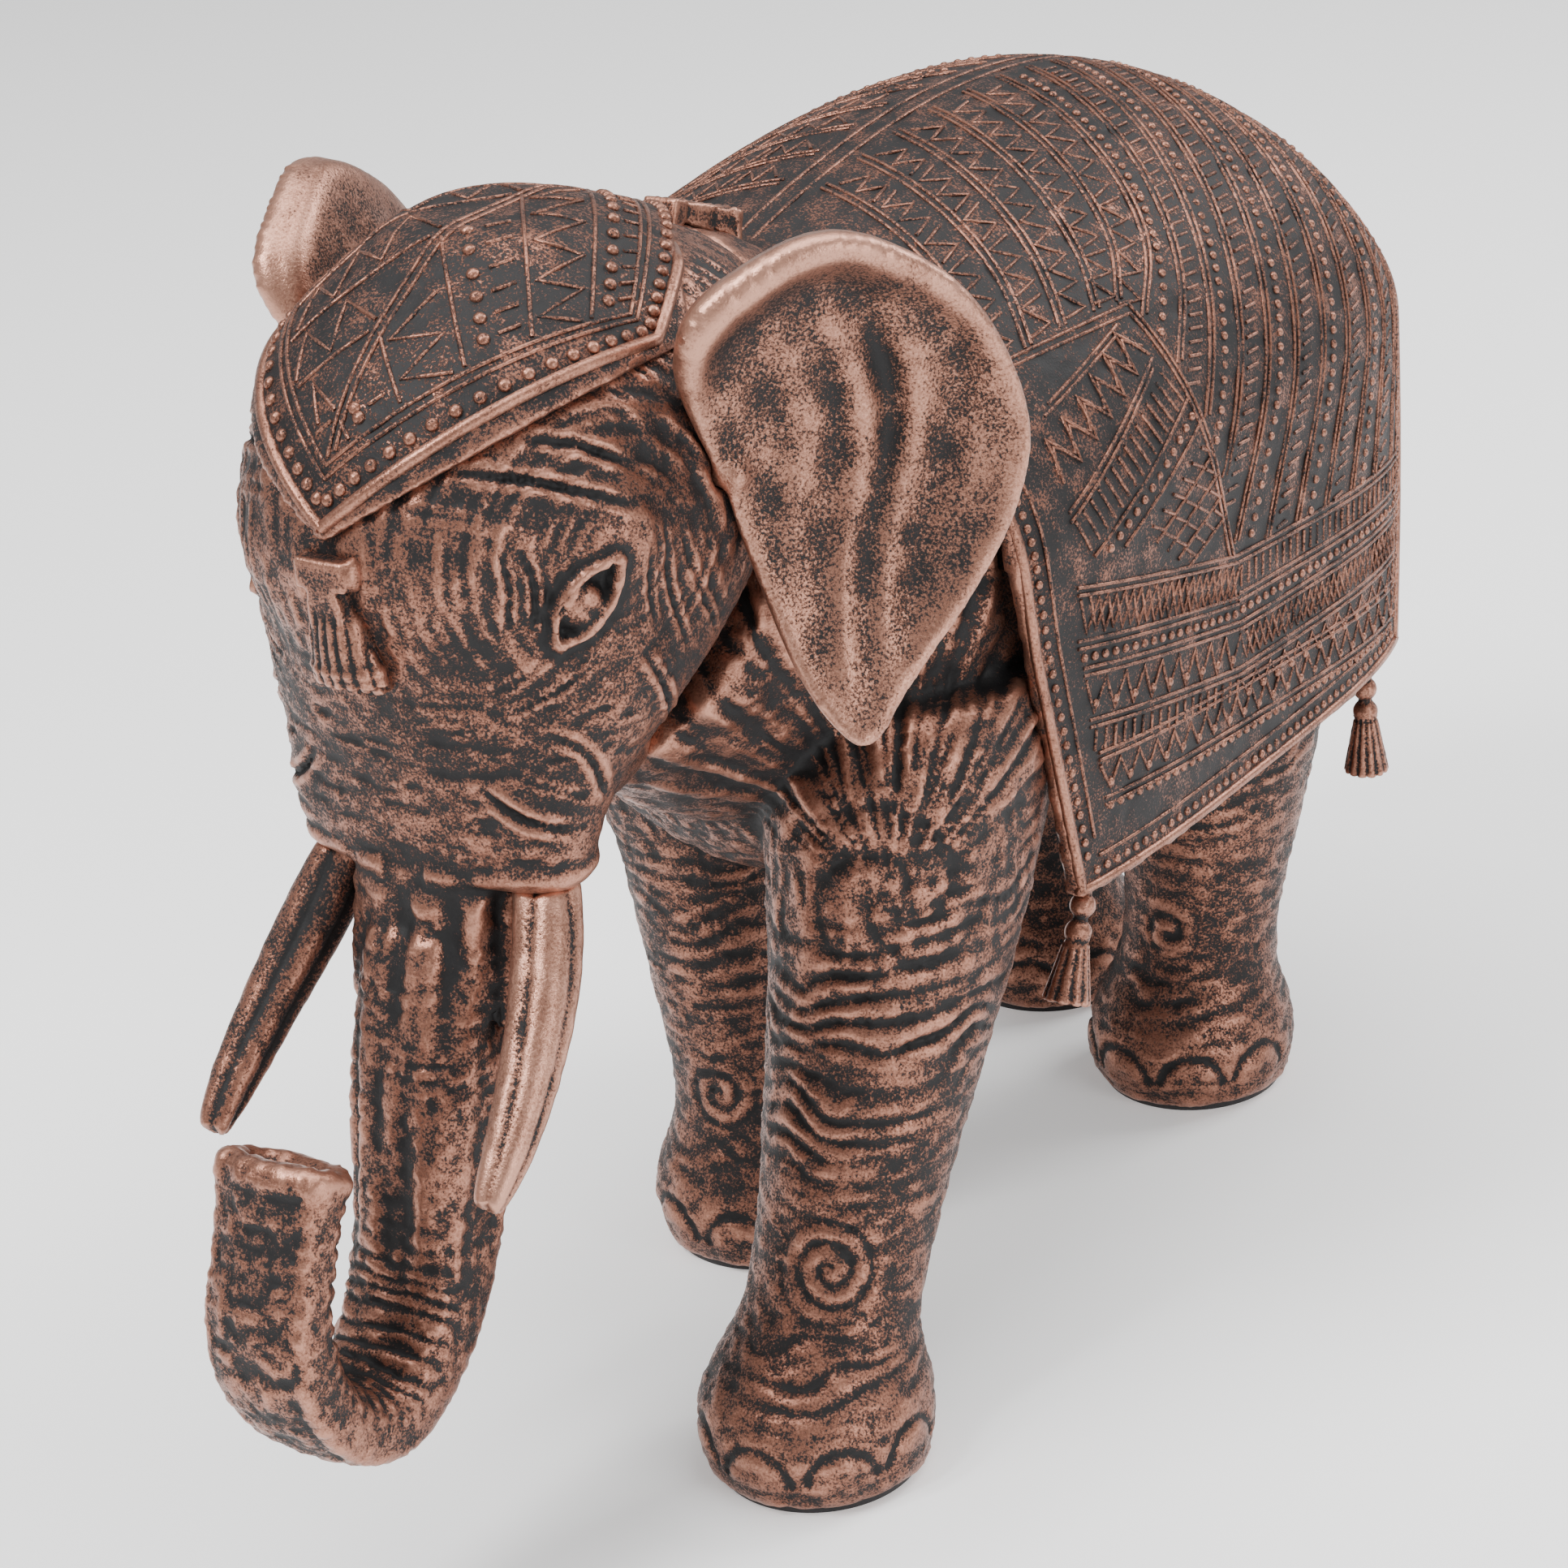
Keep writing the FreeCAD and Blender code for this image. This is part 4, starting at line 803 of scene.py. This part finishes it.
class Embroidery:
    """Lines and beads collected for one cloth, then grown into two pieces."""

    def __init__(self, where):
        self.where, self.points, self.edges, self.beads, self.facing = where, [], [], [], []

    def line(self, places, sink=0.0, step=1.6):
        """A raised cord through flat places of the cloth, smoothed onto its surface."""
        path = []
        for start, end in zip(places, places[1:]):
            pieces = max(1, int(math.dist(start, end) / step))
            path += [tuple(start[k] + (end[k] - start[k]) * n / pieces for k in (0, 1)) for n in range(pieces)]
        path.append(tuple(places[-1]))
        first = len(self.points)
        for spot in path:
            point, normal = self.where(*spot)
            self.points.append(point - normal * sink)
        self.edges += [(first + k, first + k + 1) for k in range(len(path) - 1)]

    def bead_row(self, start, end, spacing):
        count = max(2, int(math.dist(start, end) / spacing))
        for k in range(count):
            share = (k + 0.5) / count
            point, normal = self.where(*(start[j] + (end[j] - start[j]) * share for j in (0, 1)))
            self.beads.append(point)
            self.facing.append(normal)

    def zigzag(self, start, end, width, pitch):
        """A zigzag centred on a straight line."""
        length = math.dist(start, end)
        run = [(end[k] - start[k]) / length for k in (0, 1)]
        across = (-run[1], run[0])
        turns = max(2, int(length / (pitch / 2)))
        self.line([tuple(start[j] + run[j] * length * k / turns + across[j] * width * (0.5 if k % 2 else -0.5)
                         for j in (0, 1)) for k in range(turns + 1)], step=2.5)

    def bars(self, start, end, width, pitch, slant=0.0):
        """Short bars across a straight line."""
        length = math.dist(start, end)
        run = [(end[k] - start[k]) / length for k in (0, 1)]
        across = (-run[1], run[0])
        count = max(1, int(length / pitch))
        for k in range(count):
            middle = [start[j] + run[j] * length * (k + 0.5) / count for j in (0, 1)]
            tilt = [across[j] * width / 2 + run[j] * slant for j in (0, 1)]
            self.line([tuple(middle[j] - tilt[j] for j in (0, 1)), tuple(middle[j] + tilt[j] for j in (0, 1))],
                      step=2.0)

    def grow(self, name, paint, cord_radius, bead_radius=None):
        mesh = bpy.data.meshes.new(name + "_lines")
        mesh.from_pydata([tuple(p) for p in place(self.points)], self.edges, [])
        grown(name + "_cords", CORDS, mesh, cord_radius, paint)
        if not self.beads:
            return
        dots = bpy.data.meshes.new(name + "_dots")
        dots.from_pydata([tuple(p) for p in place(self.beads)], [], [])
        layer = dots.attributes.new("facing", "FLOAT_VECTOR", "POINT")
        layer.data.foreach_set("vector", np.asarray(self.facing, dtype=np.float32).ravel())
        grown(name + "_beads", BEADS, dots, bead_radius, paint, 0.80)


# the blanket's outline on the flank, in mm back and down from the ridge
FRONT_EDGE = [(-29.0, 0.0), (-29.0, 40.0), (-30.5, 80.0), (-27.0, 112.0), (-19.0, 157.0)]
REAR_EDGE = [(112.0, 0.0), (112.0, 97.0), (108.0, 118.0), (100.0, 157.0)]
HEM_DOWN = 158.0


def edge_at(edge, down):
    for (y0, d0), (y1, d1) in zip(edge, edge[1:]):
        if d0 <= down <= d1:
            return y0 + (y1 - y0) * (down - d0) / (d1 - d0)
    return edge[-1][0]


def rows(edge, inset, stop, step=4.0):
    downs = np.arange(0, stop + 0.1, step)
    return [(edge_at(edge, down) + inset, float(down)) for down in downs]


def embroider_flank(side):
    work = Embroidery(lambda y, down: on_blanket(y, down, side))
    last = HEM_DOWN - 1.6
    # border: rim, beads, rim
    for edge, outer_rim, beads, inner_rim in ((FRONT_EDGE, 0.7, 3.1, 5.6), (REAR_EDGE, -0.9, -3.2, -5.6)):
        work.line(rows(edge, outer_rim, last))
        work.line(rows(edge, inner_rim, last - 4.6))
        knots = rows(edge, beads, last, 8.0)
        for start, end in zip(knots, knots[1:]):
            work.bead_row(start, end, BEAD_PITCH)
    front, rear = edge_at(FRONT_EDGE, last), edge_at(REAR_EDGE, last)
    work.line([(front, last), (rear, last)])
    work.line([(front + 5, last - 4.8), (rear - 5, last - 4.8)])
    work.bead_row((front + 3, last - 2.4), (rear - 3, last - 2.4), BEAD_PITCH)

    # the pointed patch behind the ear
    work.line([(-24, 60), (15.7, 62.8), (29.8, 114)])
    work.line([(-24, 61.4), (14.8, 64.4), (28.4, 113.5)])
    work.line([(10.3, 65), (-13.2, 71)])
    work.line([(8.6, 66.6), (-15.0, 72.6)])
    work.line([(14.2, 73), (-17.0, 90)])
    work.line([(13.4, 74.6), (-17.0, 91.8)])
    work.zigzag((12.5, 68.5), (-18, 81), 8.0, 5.4)
    work.zigzag((12.5, 68.5), (-18, 81), 4.0, 5.4)
    work.bars((17.5, 78.5), (-15.5, 95.5), 7.0, 2.4)
    work.line([(20, 82), (-12, 99.6)])
    work.bead_row((20.5, 84.8), (-9, 100.2), 2.7)
    work.line([(22, 87), (-4, 100.6)])
    for k in range(4):
        work.bars((23.5 + k, 91.5 + 4.2 * k), (4 + 3.2 * k, 101.5 + 2.4 * k), 3.0, 3.4, 1.0)
        work.line([(24.4 + k, 93.4 + 4.2 * k), (5 + 3.2 * k, 103 + 2.6 * k)])

    # level bands under the patch, which wrap to the rear
    def level_band(y_front, y_rear, down_front, down_rear, height, kind):
        work.line([(y_front, down_front), (y_rear, down_rear)])
        work.line([(y_front, down_front + 1.3), (y_rear, down_rear + 1.3)])
        middle = ((y_front, down_front + 1.3 + height / 2), (y_rear, down_rear + 1.3 + height / 2))
        if kind == "zigzag":
            work.zigzag(*middle, height - 1.6, 4.6)
            work.zigzag((middle[0][0] + 2.3, middle[0][1]), middle[1], height - 1.6, 4.6)
        elif kind == "triangles":
            work.zigzag(*middle, height - 1.8, 5.2)
            work.bead_row((middle[0][0], middle[0][1] + 1.4), (middle[1][0], middle[1][1] + 1.4), 5.2)
        elif kind == "bars":
            work.bars(*middle, height - 1.4, 2.5)
        else:
            work.bead_row(*middle, 2.7)

    for y_front, y_rear, down_front, down_rear, height, kind in (
            (-16.5, 31, 103.5, 114.5, 7.4, "zigzag"), (31, 105, 114.5, 120.5, 5.2, "bars"),
            (-17, 31, 112.6, 122.0, 3.4, "beads"), (31, 105, 121.5, 126.5, 3.6, "beads"),
            (-16, 31, 117.6, 126.6, 7.6, "triangles"), (31, 102, 126.8, 131.0, 6.4, "zigzag"),
            (-15, 31, 127.0, 135.0, 5.0, "bars"), (31, 100, 135.0, 138.4, 5.4, "triangles"),
            (-13, 98, 133.6, 143.6, 6.4, "triangles"), (-12, 96, 142.0, 150.5, 0.8, "beads")):
        level_band(y_front, y_rear, down_front, down_rear, height, kind)

    # stripes that fan from the patch over the back, with a row between each pair
    fan = [
        [(-20.0, 59.5), (-12, 38), (-4, 5)],
        [(-10.5, 60.5), (-3, 42), (7, 5)],
        [(-1.5, 60.5), (6.5, 42), (18, 5)],
        [(7.5, 61.0), (15, 46), (29, 5)],
        [(13.5, 61.5), (24, 47), (40, 5)],
        [(17.0, 66.0), (32, 50), (51, 5)],
        [(20.0, 76.0), (36, 56), (61, 5)],
        [(23.0, 87.0), (41, 60), (70, 5)],
        [(26.5, 99.0), (46, 66), (78, 5)],
        [(30.0, 112.0), (52, 72), (85, 5)],
        [(41.0, 115.0), (60, 76), (91, 5)],
        [(52.0, 116.5), (69, 78), (96, 5)],
        [(63.0, 117.5), (78, 80), (101, 5)],
        [(74.0, 118.5), (87, 82), (105, 12)],
        [(85.0, 119.5), (95, 84), (106, 40)],
        [(96.0, 120.0), (102, 90), (106, 66)],
    ]
    smooth = [[tuple(p[:2]) for p in curve_through([(*spot, 0) for spot in trio], 3.0)] for trio in fan]
    for number, path in enumerate(smooth):
        work.line(path)
        work.line([(y + 1.6, down) for y, down in path])
        if number + 1 < len(smooth):
            following = smooth[number + 1]
            middle = [tuple((path[int(s * (len(path) - 1))][j] + following[int(s * (len(following) - 1))][j]) / 2
                            for j in (0, 1)) for s in np.linspace(0.02, 0.98, 6)]
            for start, end in zip(middle, middle[1:]):
                if number < 5:
                    work.zigzag(start, end, 5.0, 4.8)
                elif number % 2:
                    work.bead_row(start, end, 2.5)
                else:
                    work.bars(start, end, 3.2, 2.5, 0.8)
    work.line([(-28, 2.2), (110, 2.2)])
    return work


def blanket_rim(side):
    """The thick rolled edge all along the front, the hem and the rear."""
    work = Embroidery(lambda y, down: on_blanket(y, down, side))
    last = HEM_DOWN - 1.6
    work.line(rows(FRONT_EDGE, 0.7, last) + [(edge_at(FRONT_EDGE, last), last), (edge_at(REAR_EDGE, last), last)]
              + rows(REAR_EDGE, -0.9, last)[::-1], sink=0.2)
    return work


for side, label in ((1, "left"), (-1, "right")):
    embroider_flank(side).grow("blanket_" + label, raised_thread, THREAD, BEAD)
    blanket_rim(side).grow("blanket_rim_" + label, rim_resin, ROLLED_RIM)


# ------------------------------------------------------------------ head cloth
# A diamond of thick cast cloth over the crown, one corner on the forehead, two over the ears and
# one on the nape. It has a smooth copper rim, a row of beads and bands of triangles.

CLOTH_VOXEL = 0.7
cloth_mesh = solid_copy(["head_cloth"], CLOTH_VOXEL)
points, edges = read(cloth_mesh)
points = relax(points, edges, 2)
write(cloth_mesh, points)
push = 0.14 * steady_noise(points, 1.8, 91)
write(cloth_mesh, points + normals(cloth_mesh) * push[:, None])
rub_height(cloth_mesh, CLOTH_VOXEL, 2.2, 1.5)
finish("head_cloth_cloth", cloth_mesh, cloth_resin, "cloth", "head_cloth")

cloth_tree = surface("head_cloth")
SKULL_MIDDLE = np.array([0.0, -78.0, 172.0])
FRONT_CORNER, NAPE_CORNER = np.array([0.0, -128.0, 179.0]), np.array([0.0, -43.5, 202.0])
SIDE_CORNER = np.array([33.5, -87.0, 200.5])
CLOTH_SIDE = 60
RIM, INNER = 1.2, 7.6
CLOTH_THREAD, CLOTH_BEAD, CLOTH_ROLLED_RIM = 0.36, 1.05, 1.1


def on_cloth(u, v):
    """u runs from the forehead corner to the left ear and v to the right ear, in mm along the side."""
    left, back = u / CLOTH_SIDE, v / CLOTH_SIDE
    right_corner = SIDE_CORNER * (-1, 1, 1)
    spot = ((1 - left) * (1 - back) * FRONT_CORNER + left * (1 - back) * SIDE_CORNER
            + (1 - left) * back * right_corner + left * back * NAPE_CORNER)
    outwards = (spot - SKULL_MIDDLE) / np.linalg.norm(spot - SKULL_MIDDLE)
    return cast_on(cloth_tree, SKULL_MIDDLE + outwards * 90, SKULL_MIDDLE)


def round_the_cloth(inset):
    """The four sides of the diamond, inset from the cloth's edge."""
    low, high = inset, CLOTH_SIDE - inset
    return [(low, low), (high, low), (high, high), (low, high), (low, low)]


cloth_work = Embroidery(on_cloth)
for inset in (RIM, INNER, INNER + 1.5):
    cloth_work.line(round_the_cloth(inset))
for start, end in (((4.4, 4.4), (55.6, 4.4)), ((4.4, 4.4), (4.4, 55.6)), ((55.6, 4.4), (55.6, 55.6)),
                   ((4.4, 55.6), (55.6, 55.6))):
    cloth_work.bead_row(start, end, 2.9)
cloth_work.line([(10, 10), (50, 50)])
cloth_work.line([(11.5, 10), (51, 49)])
for k in range(5):
    near = 14 + 7.6 * k
    cloth_work.line([(near, 10), (near, near - 1)])
    cloth_work.line([(10, near), (near - 1, near)])
    if k % 2:
        cloth_work.zigzag((near + 3.6, 10), (near + 3.6, near), 5.4, 5.0)
        cloth_work.zigzag((10, near + 3.6), (near, near + 3.6), 5.4, 5.0)
    else:
        cloth_work.bead_row((near + 2.4, 11), (near + 2.4, near), 2.8)
        cloth_work.bars((near + 5.2, 11), (near + 5.2, near), 2.4, 2.8)
        cloth_work.zigzag((11, near + 3.6), (near, near + 3.6), 5.4, 5.4)
cloth_work.grow("head_cloth", raised_thread, CLOTH_THREAD, CLOTH_BEAD)
cloth_rim = Embroidery(on_cloth)
cloth_rim.line(round_the_cloth(RIM), sink=0.2)
cloth_rim.grow("head_cloth_rim", rim_resin, CLOTH_ROLLED_RIM)


# ------------------------------------------------------------------ tassels
# Each hanging tassel is a bead, a knot and a bell of thick strands on a stem let into the hem.
# The forehead and nape tassels are the same thing lying flat on the hide.

TASSEL_VOXEL, NAPE_VOXEL = 0.35, 0.4
SKIRT_LENGTH = 11


def make_hanging(name, node, lean_degrees):
    low, high = [measure(corner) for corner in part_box(node)]
    mesh = solid_copy([node], TASSEL_VOXEL)
    points = read(mesh)[0]
    skirt = points[:, 2] < low[2] + SKIRT_LENGTH
    lean = math.radians(lean_degrees)
    middle_x = (low[0] + high[0]) / 2
    middle_y = np.interp(points[:, 2], (low[2], high[2]),
                         (low[1] + 4.2, high[1] - 1.2) if lean_degrees else ((low[1] + high[1]) / 2,) * 2)
    turn = np.arctan2(points[:, 0] - middle_x, points[:, 1] - middle_y)
    push = np.where(skirt, 0.42 * (np.abs(np.cos(6.5 * turn)) ** 0.7 - 0.5) * math.cos(lean), 0)
    push += 0.05 * steady_noise(points, 0.8, 95)
    write(mesh, points + normals(mesh) * push[:, None])
    rub_height(mesh, TASSEL_VOXEL, 1.2, 0.9)
    finish(name, mesh, hide, "cloth", node)


for side in ("left", "right"):
    make_hanging(side + "_front_hanging", side + "_front_tassel", 25)
    make_hanging(side + "_rear_hanging", side + "_rear_tassel", 0)

# the nape tassel lies flat, with its strands along the neck
nape_mesh = solid_copy(["nape_tassel"], NAPE_VOXEL)
points, edges = read(nape_mesh)
points = relax(points, edges, 2)
write(nape_mesh, points)
strands = np.abs(np.sin(points[:, 0] * 1.9)) ** 0.6 - 0.6
share = (points[:, 1] - points[:, 1].min()) / np.ptp(points[:, 1])
push = 0.55 * strands * (share > 0.25) + 0.35 * bell(share - 0.9, 0.04)
write(nape_mesh, points + normals(nape_mesh) * push[:, None])
rub_height(nape_mesh, NAPE_VOXEL, 1.3, 0.9)
finish("nape_tassel_relief", nape_mesh, hide, "cloth", "nape_tassel")

# the forehead tassel is fuller: a bound knot on a crossbar, over a flared bell of strands
brow_low, brow_high = [measure(corner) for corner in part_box("forehead_tassel")]
knot_spot = np.array([0.6, brow_low[1] + 2.6, brow_high[2] - 2.2])
bell_form = bmesh.new()
for shift, stretch in (((0, 0, 0), (5.2, 2.4, 2.2)), ((-4.2, 0.2, 0), (1.4, 2.5, 2.7)),
                       ((4.2, 0.2, 0), (1.4, 2.5, 2.7)), ((0, 0.2, -4.4), (2.6, 2.4, 3.0))):
    turned = Matrix.Translation(place(knot_spot + np.array(shift))) @ Matrix.Diagonal(
        (*[size / 1000 for size in stretch], 1.0))
    bmesh.ops.create_uvsphere(bell_form, u_segments=24, v_segments=14, radius=1.0, matrix=turned)
AROUND = 48
# how far down each ring of the bell is, its half width and half depth, and how far it is set back
BELL_RINGS = ((-5.0, 2.6, 2.0, 0.2), (-8.0, 4.0, 2.8, 0.3), (-12.0, 5.2, 3.4, 0.7), (-17.5, 6.4, 3.7, 1.4))
skirt_rings = []
for down, wide, deep, back in BELL_RINGS:
    around = []
    for k in range(AROUND):
        angle = 2 * math.pi * k / AROUND
        spot = knot_spot + np.array([wide * math.cos(angle), back + deep * math.sin(angle), down])
        around.append(bell_form.verts.new(place(spot)))
    skirt_rings.append(around)
for upper_ring, lower_ring in zip(skirt_rings, skirt_rings[1:]):
    for k in range(AROUND):
        bell_form.faces.new((upper_ring[k], lower_ring[k], lower_ring[(k + 1) % AROUND],
                             upper_ring[(k + 1) % AROUND]))
bell_form.faces.new(skirt_rings[0])
bell_form.faces.new(skirt_rings[-1][::-1])
bmesh.ops.recalc_face_normals(bell_form, faces=bell_form.faces)
bell_mesh = bpy.data.meshes.new("forehead_bell")
bell_form.to_mesh(bell_mesh)
bell_form.free()
brow_mesh = solid_copy(["forehead_tassel"], TASSEL_VOXEL, [bell_mesh])
points, edges = read(brow_mesh)
points = relax(points, edges, 3)
write(brow_mesh, points)
below_knot = np.clip((knot_spot[2] - 5.0 - points[:, 2]) / 2.0, 0, 1)
strands = np.abs(np.sin(points[:, 0] * (2.1 - 0.035 * (knot_spot[2] - points[:, 2])))) ** 0.6 - 0.6
push = 0.6 * strands * below_knot + 0.4 * bell(points[:, 2] - (knot_spot[2] - 15.2), 0.8)
write(brow_mesh, points + normals(brow_mesh) * push[:, None])
rub_height(brow_mesh, TASSEL_VOXEL, 1.3, 0.9)
finish("forehead_tassel_relief", brow_mesh, hide, "cloth", "forehead_tassel")


# ------------------------------------------------------------------ felt pads
# Black felt discs stuck under the soles, so that the resin doesn't scratch what it stands on.
# Each is the part's own disc, with a short nap in its finish.

felt = bpy.data.materials.new("felt_black")
felt.use_nodes = True
felt_shader = felt.node_tree.nodes["Principled BSDF"]
felt_shader.inputs["Roughness"].default_value = 0.95
felt_shader.inputs["Sheen Weight"].default_value = 0.4
fluff = felt.node_tree.nodes.new("ShaderNodeTexNoise")
fluff.inputs["Scale"].default_value = 2500.0
felt_place = felt.node_tree.nodes.new("ShaderNodeTexCoord")
felt_ramp = felt.node_tree.nodes.new("ShaderNodeMix")
felt_ramp.data_type = "RGBA"
felt_ramp.inputs["A"].default_value = (0.006, 0.006, 0.007, 1.0)
felt_ramp.inputs["B"].default_value = (0.035, 0.034, 0.036, 1.0)
felt.node_tree.links.new(felt_place.outputs["Object"], fluff.inputs["Vector"])
felt.node_tree.links.new(fluff.outputs["Fac"], felt_ramp.inputs["Factor"])
felt.node_tree.links.new(felt_ramp.outputs["Result"], felt_shader.inputs["Base Color"])
for node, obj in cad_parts.items():
    if node.endswith("felt_pad"):
        obj.data.materials.clear()
        obj.data.materials.append(felt)
